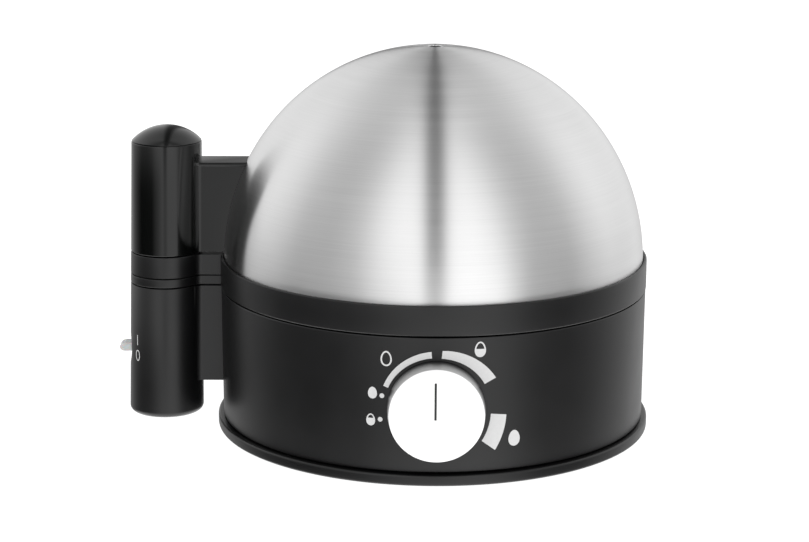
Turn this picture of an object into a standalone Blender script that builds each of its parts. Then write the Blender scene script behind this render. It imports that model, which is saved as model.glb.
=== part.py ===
"""Egg cooker: a round base with a heated water pan, a lift-off egg carrier and a lift-off steel dome.

The dome's axis is +Z. The control knob faces -Y and the grip column stands at -X. The origin is the
centre of the bottom plate's flat underside, so the four rubber feet reach a little below it.
"""

import math

import bmesh
import bpy
from mathutils import Matrix, Vector

MM = 0.001
OVERSHOOT = 2.0 * MM        # how far a cutter runs past the face that it opens
OVERLAP = 0.8 * MM          # how far two shapes that are joined reach into each other

# Clearances
GAP = 0.3 * MM              # between pieces that are fixed to each other
SEAM = 0.5 * MM             # visible line between two outer mouldings
LIFT_GAP = 0.3 * MM         # around a piece that lifts off

# How finely round shapes are faceted, and the small turn that keeps a rod's corners off other shapes' edges
BIG_SEGMENTS = 48
MID_SEGMENTS = 24
SMALL_SEGMENTS = 12
ROD_TURN = 8

# Base housing: the other pieces' radii and heights follow its radius and its top
BODY_RADIUS = 88.0 * MM
BODY_DRAFT = 0.3 * MM
BODY_WALL = 3.0 * MM
BODY_TOP = 58.8 * MM
BODY_BORE = BODY_RADIUS - BODY_WALL

# Bottom plate and feet
PLATE_RADIUS = BODY_RADIUS + 1.9 * MM
PLATE_RIM_HEIGHT = 4.4 * MM
PLATE_FLOOR = 2.6 * MM
PLATE_EDGE = 0.8 * MM
FOOT_COUNT = 4
FOOT_RADIUS = 6.0 * MM
FOOT_STAND = 2.0 * MM
FOOT_POCKET = 1.2 * MM
FOOT_CIRCLE = BODY_RADIUS - 14.0 * MM
VENT_COUNT = 8
VENT_LENGTH = 16.0 * MM
VENT_WIDTH = 3.0 * MM
VENT_CIRCLE = 34.0 * MM
STANDOFF_RADIUS = 3.0 * MM

# Grip column: one tapered outline, leaning slightly inwards, that the base, deck, carrier and lid share
COLUMN_BOTTOM = 3.5 * MM
COLUMN_BOTTOM_RADIUS = 15.4 * MM
COLUMN_TOP = BODY_TOP + 59.4 * MM
COLUMN_TOP_RADIUS = COLUMN_BOTTOM_RADIUS - 1.0 * MM
COLUMN_X = -(BODY_RADIUS + 8.5 * MM + COLUMN_BOTTOM_RADIUS)
COLUMN_LEAN = 0.0176        # how far the column's axis moves inwards for each metre of height
COLUMN_WALL = 2.0 * MM
COLUMN_EDGE = 2.5 * MM
NECK_HALF_WIDTH = 6.8 * MM
NECK_WALL = 2.0 * MM
NECK_STEP = 0.1 * MM        # how far a neck stays inside the level faces of what it joins
WEB_BOTTOM = 17.9 * MM

# Deck: the top cover of the base, whose tab caps the base column
DECK_TOP = BODY_TOP + 4.0 * MM
DECK_LEDGE_DROP = 2.0 * MM
DECK_OPENING_RADIUS = BODY_RADIUS - 10.5 * MM
DECK_LEDGE_WIDTH = 4.7 * MM
DECK_SKIN = 1.9 * MM
DECK_SKIRT_BOTTOM = BODY_TOP - 5.8 * MM

# Screws and the posts that they enter
SCREW_SHANK = 1.3 * MM
SCREW_PILOT = 1.6 * MM
SCREW_CLEAR = 1.9 * MM
SCREW_HEAD = 3.2 * MM
SCREW_HEAD_HEIGHT = 1.1 * MM
POST_RADIUS = 4.2 * MM
PLATE_POST_CIRCLE = BODY_RADIUS - 6.5 * MM
PLATE_POST_TOP = 24.0 * MM
PLATE_SCREW_TIP = 16.0 * MM
PLATE_SCREW_ANGLES = (45, 135, 225, 315)
DECK_POST_CIRCLE = BODY_RADIUS - 7.5 * MM
DECK_POST_RADIUS = 3.4 * MM
DECK_LUG_RADIUS = 4.8 * MM
DECK_LUG_BOTTOM = BODY_TOP - 14.8 * MM
DECK_LUG_TOP = BODY_TOP - 8.8 * MM
DECK_SCREW_ANGLES = (30, 150, 210, 330)

# Water pan and heater
PAN_SHEET = 1.0 * MM
PAN_FLANGE_RADIUS = BODY_RADIUS - 6.6 * MM
PAN_RIM_RADIUS = BODY_RADIUS - 11.5 * MM
PAN_FLOOR_RADIUS = BODY_RADIUS - 16.0 * MM
PAN_FLOOR = BODY_TOP - 8.8 * MM
PAN_CORNER = 4.0 * MM
SEAL_HEIGHT = 0.8 * MM
SEAL_WIDTH = 3.0 * MM
SPREADER_RADIUS = BODY_RADIUS - 28.0 * MM
SPREADER_HEIGHT = 2.8 * MM
STUD_RADIUS = 2.5 * MM
STUD_LENGTH = 14.0 * MM
ELEMENT_RING_RADIUS = BODY_RADIUS - 40.0 * MM
ELEMENT_TUBE_RADIUS = 3.2 * MM
ELEMENT_HALF_OPENING = 10
ELEMENT_LEG = 6.0 * MM
TERMINAL_RADIUS = 1.6 * MM
TERMINAL_LENGTH = 9.0 * MM
CLAMP_BAR_TOP = BODY_TOP - 19.8 * MM
CLAMP_BAR_THICKNESS = 2.5 * MM
CLAMP_BAR_WIDTH = 12.0 * MM
CLAMP_NUT_RADIUS = 4.6 * MM
CLAMP_NUT_HEIGHT = 3.0 * MM

# Thermostat, fuse and control board
THERMOSTAT_RADIUS = 8.0 * MM
THERMOSTAT_HEIGHT = 9.0 * MM
THERMOSTAT_Y = -24.0 * MM
FUSE_RADIUS = 2.0 * MM
FUSE_LENGTH = 14.0 * MM
FUSE_PLACE = (24.0 * MM, -14.0 * MM)
BOARD_SIZE = (60.0 * MM, 40.0 * MM, 1.6 * MM)
BOARD_Y = 45.0 * MM - BODY_BORE
BOARD_BOTTOM = 14.0 * MM
RELAY_SIZE = (19.0 * MM, 15.5 * MM, 15.5 * MM)
RELAY_PLACE = (-15.0 * MM, BOARD_Y - 6.0 * MM)
BUZZER_RADIUS = 7.0 * MM
BUZZER_HEIGHT = 6.0 * MM
BUZZER_PLACE = (12.0 * MM, BOARD_Y - 9.0 * MM)
CAPACITOR_SIZE = (18.0 * MM, 6.0 * MM, 12.0 * MM)
CAPACITOR_PLACE = (14.0 * MM, BOARD_Y + 8.0 * MM)
TERMINAL_BLOCK_SIZE = (24.0 * MM, 14.0 * MM, 12.0 * MM)
TERMINAL_BLOCK_Y = BODY_BORE - 25.0 * MM

# Knob and regulator, on an axis along Y
KNOB_Z = 30.7 * MM
KNOB_FACE_RADIUS = 18.3 * MM
KNOB_BACK_RADIUS = 19.1 * MM
KNOB_LENGTH = 9.6 * MM
KNOB_EDGE = 0.8 * MM
KNOB_WALL = 1.8 * MM
KNOB_HUB_RADIUS = 5.5 * MM
KNOB_GROOVE_WIDTH = 0.9 * MM
KNOB_GROOVE_DEPTH = 0.4 * MM
KNOB_GROOVE_TOP = 13.2 * MM
KNOB_GROOVE_BOTTOM = -1.5 * MM
SHAFT_RADIUS = 3.0 * MM
SHAFT_HOLE_RADIUS = 4.4 * MM
REGULATOR_HALF = 14.0 * MM
REGULATOR_FRONT = 2.4 * MM - BODY_BORE
REGULATOR_DEPTH = 16.0 * MM
REGULATOR_EAR_HALF = 24.0 * MM
REGULATOR_EAR_HEIGHT = 10.0 * MM
REGULATOR_EAR_THICKNESS = 2.0 * MM
REGULATOR_SCREW_X = 20.0 * MM
REGULATOR_BOSS_END = 5.4 * MM - BODY_BORE
CLIP_THICKNESS = 0.6 * MM
CLIP_LENGTH = 3.0 * MM

# On/off switch in the base column, its lever turning about an axis along Y
SWITCH_Z = 31.4 * MM
SWITCH_PIVOT_X = COLUMN_X - COLUMN_BOTTOM_RADIUS + 8.3 * MM
SWITCH_TIP_X = COLUMN_X - COLUMN_BOTTOM_RADIUS - 3.6 * MM
SWITCH_REST_TILT = 6
SWITCH_LEVER_THICKNESS = 4.4 * MM
SWITCH_LEVER_HALF_WIDTH = 3.2 * MM
SWITCH_BARREL_RADIUS = 3.4 * MM
SWITCH_PIN_RADIUS = 1.0 * MM
SWITCH_WINDOW_HALF_WIDTH = 3.7 * MM
SWITCH_WINDOW_HALF_HEIGHT = 3.9 * MM
SWITCH_SCOOP_HALF_HEIGHT = 5.2 * MM
SWITCH_SCOOP_DEPTH = 0.7 * MM
SWITCH_CASE_SIZE = (16.5 * MM, 11.2 * MM, 18.0 * MM)
SWITCH_CHEEK = 1.3 * MM
BLADE_SIZE = (6.5 * MM, 6.0 * MM, 0.8 * MM)

# Cord gland in the rear wall
GLAND_Z = 14.0 * MM
GLAND_BORE = 3.6 * MM
GLAND_NECK = 5.2 * MM
GLAND_FLANGE = 7.5 * MM
GLAND_FLANGE_THICKNESS = 2.0 * MM

# Egg carrier
COLLAR_RADIUS = BODY_RADIUS + 0.2 * MM
COLLAR_WALL = 1.3 * MM
COLLAR_TOP = BODY_TOP + 12.5 * MM
CARRIER_TAB_TOP = BODY_TOP + 13.2 * MM
CARRIER_PLATE_BOTTOM = BODY_TOP + 5.7 * MM
CARRIER_PLATE = 2.0 * MM
EGG_HOLE_RADIUS = 18.5 * MM
EGG_HOLE_CIRCLE = BODY_RADIUS - 38.0 * MM
EGG_HOLE_RIM = 1.6 * MM
EGG_HOLE_RIM_BOTTOM = BODY_TOP + 1.7 * MM
STEAM_HOLE_RADIUS = 4.5 * MM
STEAM_HOLE_CIRCLE = 0.58 * EGG_HOLE_CIRCLE
OUTER_EGGS = 6

# Dome lid: a hemisphere, very slightly taller than it is wide
DOME_SHEET = 0.8 * MM
DOME_CENTRE_Z = BODY_TOP + 10.7 * MM
DOME_HEIGHT = BODY_RADIUS + 0.2 * MM
DOME_STEPS = 10
VENT_HOLE_RADIUS = 3.2 * MM

# Lid handle
HANDLE_FLOOR = 2.2 * MM
HANDLE_WEB_HALF_WIDTH = 6.8 * MM
HANDLE_WEB_BOTTOM = CARRIER_TAB_TOP + 1.0 * MM
HANDLE_WEB_WALL = 2.0 * MM
HANDLE_TOP_HALF_WIDTH = 7.6 * MM
HANDLE_TOP_Z = DOME_CENTRE_Z + 40.9 * MM
HANDLE_TOP_THICKNESS = 1.5 * MM
CAP_APEX = COLUMN_TOP + 6.5 * MM
CAP_SKIN = 1.8 * MM
CAP_SPIGOT_BOTTOM = COLUMN_TOP - 6.2 * MM
HANDLE_SCREW_HEIGHTS = (DOME_CENTRE_Z + 12.5 * MM, DOME_CENTRE_Z + 30.5 * MM)
HANDLE_SCREW_DEPTH = 10.0 * MM
HANDLE_BOSS_RADIUS = 4.6 * MM
WASHER_RADIUS = 5.0 * MM
WASHER_THICKNESS = 0.8 * MM

# Internal wiring
LEAD_RADIUS = 1.1 * MM
LEAD_POINTS = 16

# Values that follow from those above
BODY_BOTTOM = PLATE_RIM_HEIGHT + SEAM
COLLAR_BORE = COLLAR_RADIUS - COLLAR_WALL
DECK_RADIUS = COLLAR_BORE - LIFT_GAP
DECK_BOTTOM = BODY_TOP + SEAM
DECK_LEDGE = DECK_TOP - DECK_LEDGE_DROP
DECK_LEDGE_RADIUS = DECK_OPENING_RADIUS + DECK_LEDGE_WIDTH
COLLAR_BOTTOM = BODY_TOP + SEAM
HANDLE_BOTTOM = CARRIER_TAB_TOP + SEAM
CARRIER_TAB_BOTTOM = DECK_TOP + SEAM
CARRIER_PLATE_TOP = CARRIER_PLATE_BOTTOM + CARRIER_PLATE
DOME_RADIUS = COLLAR_BORE - LIFT_GAP
DOME_BOTTOM = CARRIER_PLATE_TOP + GAP
KNOB_BACK_Y = -(BODY_RADIUS + GAP)
KNOB_FACE_Y = KNOB_BACK_Y - KNOB_LENGTH
SPREADER_TOP = PAN_FLOOR - GAP
SPREADER_BOTTOM = SPREADER_TOP - SPREADER_HEIGHT
ELEMENT_Z = SPREADER_BOTTOM - GAP - ELEMENT_TUBE_RADIUS
ELEMENT_LEG_BOTTOM = ELEMENT_Z - ELEMENT_LEG
BOARD_TOP = BOARD_BOTTOM + BOARD_SIZE[2]


# ---------------------------------------------------------------- helpers

def clear_scene():
    for thing in list(bpy.data.objects):
        bpy.data.objects.remove(thing)


def material(name, colour, roughness, metallic=0.0):
    made = bpy.data.materials.get(name) or bpy.data.materials.new(name)
    made.use_nodes = True
    shader = made.node_tree.nodes["Principled BSDF"]
    shader.inputs["Base Color"].default_value = (*colour, 1.0)
    shader.inputs["Roughness"].default_value = roughness
    shader.inputs["Metallic"].default_value = metallic
    return made


def finish(name, mesh_maker, finish_material=None, angle=35):
    """An object made of what the bmesh holds, with its faces pointing out."""
    bmesh.ops.remove_doubles(mesh_maker, verts=mesh_maker.verts, dist=1e-7)
    bmesh.ops.recalc_face_normals(mesh_maker, faces=mesh_maker.faces)
    mesh = bpy.data.meshes.new(name)
    mesh_maker.to_mesh(mesh)
    mesh_maker.free()
    mesh.shade_smooth()
    mesh.set_sharp_from_angle(angle=math.radians(angle))
    made = bpy.data.objects.new(name, mesh)
    bpy.context.scene.collection.objects.link(made)
    if finish_material:
        mesh.materials.append(finish_material)
    return made


def turned(name, outline, finish_material=None, segments=MID_SEGMENTS):
    """A shape turned about Z from a closed outline of (radius, height) points."""
    shape = bmesh.new()
    corners = [shape.verts.new((radius, 0, height)) for radius, height in outline]
    pairs = zip(corners, corners[1:] + corners[:1])
    edges = [shape.edges.new(pair) for pair in pairs if max(pair[0].co.x, pair[1].co.x) > 1e-9]
    bmesh.ops.spin(
        shape, geom=corners + edges, axis=(0, 0, 1), cent=(0, 0, 0),
        angle=2 * math.pi, steps=segments, use_merge=True,
    )
    return finish(name, shape, finish_material)


def disc(radius, low, high):
    """The outline of a plain cylinder for turned()."""
    return [(0, low), (radius, low), (radius, high), (0, high)]


def ring(inner, outer, low, high):
    """The outline of a plain ring for turned()."""
    return [(inner, low), (outer, low), (outer, high), (inner, high)]


def prism(name, plan, low, high):
    """An upright shape with a plan of (x, y) points."""
    shape = bmesh.new()
    base = shape.faces.new([shape.verts.new((x, y, low)) for x, y in plan])
    raised = bmesh.ops.extrude_face_region(shape, geom=[base])
    moved = [item for item in raised["geom"] if isinstance(item, bmesh.types.BMVert)]
    bmesh.ops.translate(shape, vec=(0, 0, high - low), verts=moved)
    return finish(name, shape)


def block(name, low, high, finish_material=None):
    """A box between two opposite corners."""
    shape = bmesh.new()
    bmesh.ops.create_cube(shape, size=1.0)
    size = Vector(high) - Vector(low)
    centre = (Vector(high) + Vector(low)) / 2
    bmesh.ops.scale(shape, vec=size, verts=shape.verts)
    bmesh.ops.translate(shape, vec=centre, verts=shape.verts)
    return finish(name, shape, finish_material)


def standing_block(name, size, place, bottom, finish_material=None):
    """A box of a size, centred on a place in plan, standing on a height."""
    low = (place[0] - size[0] / 2, place[1] - size[1] / 2, bottom)
    high = (place[0] + size[0] / 2, place[1] + size[1] / 2, bottom + size[2])
    return block(name, low, high, finish_material)


def rods(name, places, radius, low, high, segments=SMALL_SEGMENTS):
    """Several upright cylinders in one mesh, as one cutter or one set of posts."""
    shape = bmesh.new()
    turn = Matrix.Rotation(math.radians(ROD_TURN), 4, "Z")
    for x, y in places:
        bmesh.ops.create_cone(
            shape, cap_ends=True, segments=segments, radius1=radius, radius2=radius,
            depth=high - low, matrix=Matrix.Translation((x, y, (low + high) / 2)) @ turn,
        )
    return finish(name, shape)


def on_circle(radius, degrees):
    return radius * math.cos(math.radians(degrees)), radius * math.sin(math.radians(degrees))


def combine(made, other, operation):
    """Adds a Boolean of another object, which is then only a helper."""
    step = made.modifiers.new(f"{operation.lower()}_{other.name}", "BOOLEAN")
    step.object = other
    step.operation = operation
    step.solver = "EXACT"
    other.hide_render = True
    other.display_type = "WIRE"
    return made


def join(made, other):
    return combine(made, other, "UNION")


def cut(made, other):
    return combine(made, other, "DIFFERENCE")


def lay_along_y(made, place):
    """Turns a shape made about Z so that its +Z runs along -Y, and places it."""
    made.location = place
    made.rotation_euler = (math.radians(90), 0, 0)
    return made


def screw(name, shank_length, finish_material, head=SCREW_HEAD, shank=SCREW_SHANK):
    """A pan-head screw: its head's seat is at its origin and its shank runs along +Z."""
    outline = [
        (0, -SCREW_HEAD_HEIGHT), (0.75 * head, -SCREW_HEAD_HEIGHT), (head, -0.5 * SCREW_HEAD_HEIGHT),
        (head, 0), (shank, 0), (shank, shank_length - shank), (0, shank_length),
    ]
    return turned(name, outline, finish_material, SMALL_SEGMENTS)


def arc(centre, radius, start, end, steps):
    """Points of an arc in an outline, from one angle to another in degrees."""
    points = []
    for step in range(steps + 1):
        angle = math.radians(start + (end - start) * step / steps)
        points.append((centre[0] + radius * math.cos(angle), centre[1] + radius * math.sin(angle)))
    return points


def column_radius(height):
    """The grip column's outer radius at a height."""
    share = (height - COLUMN_BOTTOM) / (COLUMN_TOP - COLUMN_BOTTOM)
    return COLUMN_BOTTOM_RADIUS + (COLUMN_TOP_RADIUS - COLUMN_BOTTOM_RADIUS) * share


def column_slice(name, low, high, inset=0.0, finish_material=None):
    """A tapered slice of the grip column's outline, in its place."""
    outline = [
        (0, low), (column_radius(low) - inset, low),
        (column_radius(high) - inset, high), (0, high),
    ]
    return lean(turned(name, outline, finish_material, MID_SEGMENTS))


def column_centre(height):
    """Where the grip column's axis is along X at a height."""
    return COLUMN_X + COLUMN_LEAN * (height - COLUMN_BOTTOM)


def lean(made):
    """A shape made round Z, moved onto the grip column's leaning axis level by level."""
    for vertex in made.data.vertices:
        vertex.co.x += column_centre(vertex.co.z)
    return made


def dome_outline(radius, height, vent):
    """Quarter-ellipse points from the dome's equator to the edge of its steam hole."""
    end = math.acos(vent / radius)
    return [
        (radius * math.cos(end * step / DOME_STEPS),
         DOME_CENTRE_Z + height * math.sin(end * step / DOME_STEPS))
        for step in range(DOME_STEPS + 1)
    ]


def dome_seat(height, offset):
    """The matrix of a point on the column side of the dome: +Z is the outward normal, moved out by offset."""
    rise = (height - DOME_CENTRE_Z) / DOME_HEIGHT
    radius = DOME_RADIUS * math.sqrt(1 - rise * rise)
    outward = Vector((-radius / DOME_RADIUS**2, 0, (height - DOME_CENTRE_Z) / DOME_HEIGHT**2)).normalized()
    place = Vector((-radius, 0, height)) + outward * offset
    return Matrix.Translation(place) @ outward.to_track_quat("Z", "Y").to_matrix().to_4x4()


def smooth_route(points, count):
    """Evenly numbered points on a smooth curve through the given ones (Catmull-Rom)."""
    ends = [2 * Vector(points[0]) - Vector(points[1]), *map(Vector, points),
            2 * Vector(points[-1]) - Vector(points[-2])]
    spans = len(points) - 1
    route = []
    for number in range(count):
        along = number / (count - 1) * spans
        span = min(int(along), spans - 1)
        t = along - span
        a, b, c, d = ends[span:span + 4]
        route.append(0.5 * (2 * b + (c - a) * t + (2 * a - 5 * b + 4 * c - d) * t**2
                            + (3 * b - a - 3 * c + d) * t**3))
    return route


def tube(name, points, radius, finish_material, resolution=2):
    """A round tube along a list of points."""
    curve = bpy.data.curves.new(name, "CURVE")
    curve.dimensions = "3D"
    curve.bevel_depth = radius
    curve.bevel_resolution = resolution
    curve.use_fill_caps = True
    spline = curve.splines.new("POLY")
    spline.points.add(len(points) - 1)
    for point, place in zip(spline.points, points):
        point.co = (*place, 1.0)
    curve.materials.append(finish_material)
    made = bpy.data.objects.new(name, curve)
    bpy.context.scene.collection.objects.link(made)
    return made


# ---------------------------------------------------------------- base

def bottom_plate(plastic):
    edge = PLATE_EDGE
    plate = turned("bottom_plate", [
        (0, 0), (PLATE_RADIUS - edge, 0), (PLATE_RADIUS, edge),
        (PLATE_RADIUS, PLATE_RIM_HEIGHT - edge), (PLATE_RADIUS - edge, PLATE_RIM_HEIGHT),
        (BODY_BORE - BODY_WALL, PLATE_RIM_HEIGHT), (BODY_BORE - BODY_WALL, PLATE_FLOOR), (0, PLATE_FLOOR),
    ], plastic, BIG_SEGMENTS)
    half_x, half_y = BOARD_SIZE[0] / 2 - STANDOFF_RADIUS, BOARD_SIZE[1] / 2 - STANDOFF_RADIUS
    corners = [(x, BOARD_Y + y) for x in (-half_x, half_x) for y in (-half_y, half_y)]
    join(plate, rods("board_standoffs", corners, STANDOFF_RADIUS, PLATE_FLOOR - OVERLAP, BOARD_BOTTOM - GAP))
    feet = [on_circle(FOOT_CIRCLE, 360 * n / FOOT_COUNT) for n in range(FOOT_COUNT)]
    cut(plate, rods("foot_pockets", feet, FOOT_RADIUS + GAP, -OVERSHOOT, FOOT_POCKET, SMALL_SEGMENTS))
    screws = [on_circle(PLATE_POST_CIRCLE, angle) for angle in PLATE_SCREW_ANGLES]
    cut(plate, rods("screw_passages", screws, SCREW_CLEAR, -OVERSHOOT, PLATE_RIM_HEIGHT + OVERSHOOT))
    cut(plate, rods("screw_counterbores", screws, SCREW_HEAD + GAP, -OVERSHOOT, SCREW_HEAD_HEIGHT + GAP))
    vents = bmesh.new()
    for number in range(VENT_COUNT):
        turn = Matrix.Rotation(2 * math.pi * (number + 0.5) / VENT_COUNT, 4, "Z")
        size = Matrix.Diagonal((VENT_LENGTH, VENT_WIDTH, 4 * PLATE_FLOOR, 1))
        bmesh.ops.create_cube(vents, size=1.0, matrix=turn @ Matrix.Translation((VENT_CIRCLE, 0, 0)) @ size)
    cut(plate, finish("underside_vents", vents))


def feet(rubber):
    for number in range(FOOT_COUNT):
        x, y = on_circle(FOOT_CIRCLE, 360 * number / FOOT_COUNT)
        foot = turned(f"foot_{number + 1}", [
            (0, -FOOT_STAND), (FOOT_RADIUS - PLATE_EDGE, -FOOT_STAND), (FOOT_RADIUS, PLATE_EDGE - FOOT_STAND),
            (FOOT_RADIUS, FOOT_POCKET - GAP), (0, FOOT_POCKET - GAP),
        ], rubber, SMALL_SEGMENTS)
        foot.location.x, foot.location.y = x, y


def plate_screws(steel):
    for number, angle in enumerate(PLATE_SCREW_ANGLES, 1):
        made = screw(f"plate_screw_{number}", PLATE_SCREW_TIP - SCREW_HEAD_HEIGHT, steel)
        x, y = on_circle(PLATE_POST_CIRCLE, angle)
        made.location = (x, y, SCREW_HEAD_HEIGHT)


def base_shell(plastic):
    shell = turned("base_shell", [
        (0, BODY_BOTTOM), (BODY_RADIUS - BODY_DRAFT, BODY_BOTTOM), (BODY_RADIUS, BODY_TOP), (0, BODY_TOP),
    ], plastic, BIG_SEGMENTS)
    corner = arc((COLUMN_BOTTOM_RADIUS - COLUMN_EDGE, COLUMN_BOTTOM + COLUMN_EDGE), COLUMN_EDGE, -90, 0, 3)
    join(shell, lean(turned("base_column", [
        (0, COLUMN_BOTTOM), *corner, (column_radius(BODY_TOP), BODY_TOP), (0, BODY_TOP),
    ])))
    join(shell, block(
        "base_web", (COLUMN_X + COLUMN_TOP_RADIUS - OVERLAP, -NECK_HALF_WIDTH, WEB_BOTTOM),
        (-BODY_BORE, NECK_HALF_WIDTH, BODY_TOP - NECK_STEP)))
    cut(shell, turned("body_bore", disc(BODY_BORE, BODY_BOTTOM - OVERSHOOT, BODY_TOP + OVERSHOOT),
                      segments=BIG_SEGMENTS))
    floor = COLUMN_BOTTOM + COLUMN_WALL
    cut(shell, column_slice("base_column_bore", floor, BODY_TOP + OVERSHOOT, COLUMN_WALL))
    passage = NECK_HALF_WIDTH - NECK_WALL
    cut(shell, block("web_passage", (COLUMN_X + COLUMN_WALL, -passage, WEB_BOTTOM + NECK_WALL),
                     (-BODY_BORE + OVERSHOOT, passage, BODY_TOP + OVERSHOOT)))
    posts = [on_circle(PLATE_POST_CIRCLE, angle) for angle in PLATE_SCREW_ANGLES]
    lugs = [on_circle(DECK_POST_CIRCLE, angle) for angle in DECK_SCREW_ANGLES]
    join(shell, rods("plate_posts", posts, POST_RADIUS, BODY_BOTTOM + GAP, PLATE_POST_TOP))
    join(shell, rods("deck_lugs", lugs, DECK_LUG_RADIUS, DECK_LUG_BOTTOM, DECK_LUG_TOP))
    cut(shell, rods("post_pilots", posts, SCREW_PILOT, BODY_BOTTOM - OVERSHOOT, PLATE_SCREW_TIP + OVERSHOOT))
    cut(shell, rods("lug_passages", lugs, SCREW_CLEAR, DECK_LUG_BOTTOM - OVERSHOOT, DECK_LUG_TOP + OVERSHOOT))
    for side in (-1, 1):
        boss_x = side * REGULATOR_SCREW_X
        boss_length = BODY_BORE - 1 * MM + REGULATOR_BOSS_END
        boss = turned(f"regulator_boss_{side}", disc(SCREW_HEAD + GAP, 0, boss_length))
        join(shell, lay_along_y(boss, (boss_x, REGULATOR_BOSS_END, KNOB_Z)))
        pilot = turned(f"regulator_pilot_{side}", disc(SCREW_PILOT, -OVERSHOOT, boss_length - SEAM),
                       segments=SMALL_SEGMENTS)
        cut(shell, lay_along_y(pilot, (boss_x, REGULATOR_BOSS_END, KNOB_Z)))
    shaft_hole = turned("shaft_hole", disc(SHAFT_HOLE_RADIUS, -BODY_WALL, 3 * BODY_WALL))
    cut(shell, lay_along_y(shaft_hole, (0, -BODY_BORE, KNOB_Z)))
    gland_hole = turned("gland_hole", disc(GLAND_NECK + GAP, -3 * BODY_WALL, BODY_WALL))
    cut(shell, lay_along_y(gland_hole, (0, BODY_BORE, GLAND_Z)))
    cut_switch_window(shell)


def cut_switch_window(shell):
    """The shallow scoop on the base column and the window that the lever looks out of."""
    surface = column_centre(SWITCH_Z) - column_radius(SWITCH_Z)
    scoop_radius = (SWITCH_SCOOP_HALF_HEIGHT**2 + SWITCH_SCOOP_DEPTH**2) / (2 * SWITCH_SCOOP_DEPTH)
    half_length = COLUMN_TOP_RADIUS
    scoop = turned("switch_scoop", disc(scoop_radius, -half_length, half_length), segments=BIG_SEGMENTS)
    cut(shell, lay_along_y(scoop, (surface + SWITCH_SCOOP_DEPTH - scoop_radius, 0, SWITCH_Z)))
    cut(shell, block(
        "switch_window",
        (surface - OVERSHOOT, -SWITCH_WINDOW_HALF_WIDTH, SWITCH_Z - SWITCH_WINDOW_HALF_HEIGHT),
        (surface + 2 * COLUMN_WALL, SWITCH_WINDOW_HALF_WIDTH, SWITCH_Z + SWITCH_WINDOW_HALF_HEIGHT)))


def deck(plastic):
    made = turned("deck", [
        (DECK_OPENING_RADIUS, DECK_LEDGE - DECK_SKIN), (DECK_OPENING_RADIUS, DECK_LEDGE),
        (DECK_LEDGE_RADIUS, DECK_LEDGE), (DECK_LEDGE_RADIUS, DECK_TOP), (DECK_RADIUS, DECK_TOP),
        (DECK_RADIUS, DECK_BOTTOM), (BODY_BORE - SEAM, DECK_BOTTOM), (BODY_BORE - SEAM, DECK_SKIRT_BOTTOM),
        (BODY_BORE - SEAM - DECK_SKIN, DECK_SKIRT_BOTTOM), (BODY_BORE - SEAM - DECK_SKIN, DECK_LEDGE - DECK_SKIN),
    ], plastic, BIG_SEGMENTS)
    join(made, block(
        "deck_neck", (COLUMN_X + COLUMN_TOP_RADIUS - OVERLAP, -NECK_HALF_WIDTH, DECK_BOTTOM + NECK_STEP),
        (-DECK_LEDGE_RADIUS - OVERLAP, NECK_HALF_WIDTH, DECK_TOP - NECK_STEP)))
    join(made, column_slice("deck_tab", DECK_BOTTOM, DECK_TOP))
    roof = DECK_TOP - DECK_SKIN
    cut(made, column_slice("deck_tab_pocket", DECK_BOTTOM - OVERSHOOT, roof, COLUMN_WALL))
    half = NECK_HALF_WIDTH - NECK_WALL
    cut(made, block("deck_neck_pocket", (COLUMN_X + COLUMN_WALL, -half, DECK_BOTTOM - OVERSHOOT),
                    (-DECK_RADIUS, half, roof - NECK_STEP)))
    posts = [on_circle(DECK_POST_CIRCLE, angle) for angle in DECK_SCREW_ANGLES]
    join(made, rods("deck_posts", posts, DECK_POST_RADIUS, DECK_LUG_TOP + GAP, DECK_LEDGE - OVERLAP))
    cut(made, rods("deck_post_pilots", posts, SCREW_PILOT, DECK_LUG_TOP - OVERSHOOT, BODY_TOP - OVERLAP))
    hangers = [(-DECK_POST_CIRCLE, 0), (DECK_POST_CIRCLE, 0)]
    join(made, rods("clamp_hangers", hangers, DECK_POST_RADIUS, CLAMP_BAR_TOP + GAP, DECK_LEDGE - OVERLAP))
    cut(made, rods("hanger_pilots", hangers, SCREW_PILOT, CLAMP_BAR_TOP - OVERSHOOT,
                   CLAMP_BAR_TOP + PLATE_SCREW_TIP - OVERSHOOT))


def deck_screws(steel):
    length = BODY_TOP - DECK_LUG_BOTTOM - OVERSHOOT
    for number, angle in enumerate(DECK_SCREW_ANGLES, 1):
        made = screw(f"deck_screw_{number}", length, steel)
        x, y = on_circle(DECK_POST_CIRCLE, angle)
        made.location = (x, y, DECK_LUG_BOTTOM - GAP)


def cord_gland(rubber):
    wall_out, wall_in = BODY_RADIUS + GAP, BODY_BORE - 3 * GAP
    flange = GLAND_FLANGE_THICKNESS
    made = turned("cord_gland", [
        (GLAND_BORE, wall_in - flange), (GLAND_FLANGE - GAP, wall_in - flange), (GLAND_FLANGE - GAP, wall_in),
        (GLAND_NECK, wall_in), (GLAND_NECK, wall_out), (GLAND_FLANGE, wall_out),
        (GLAND_FLANGE - GAP, wall_out + flange), (GLAND_BORE, wall_out + flange),
    ], rubber)
    made.location.z = GLAND_Z
    made.rotation_euler.x = math.radians(-90)


# ---------------------------------------------------------------- heater

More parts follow.
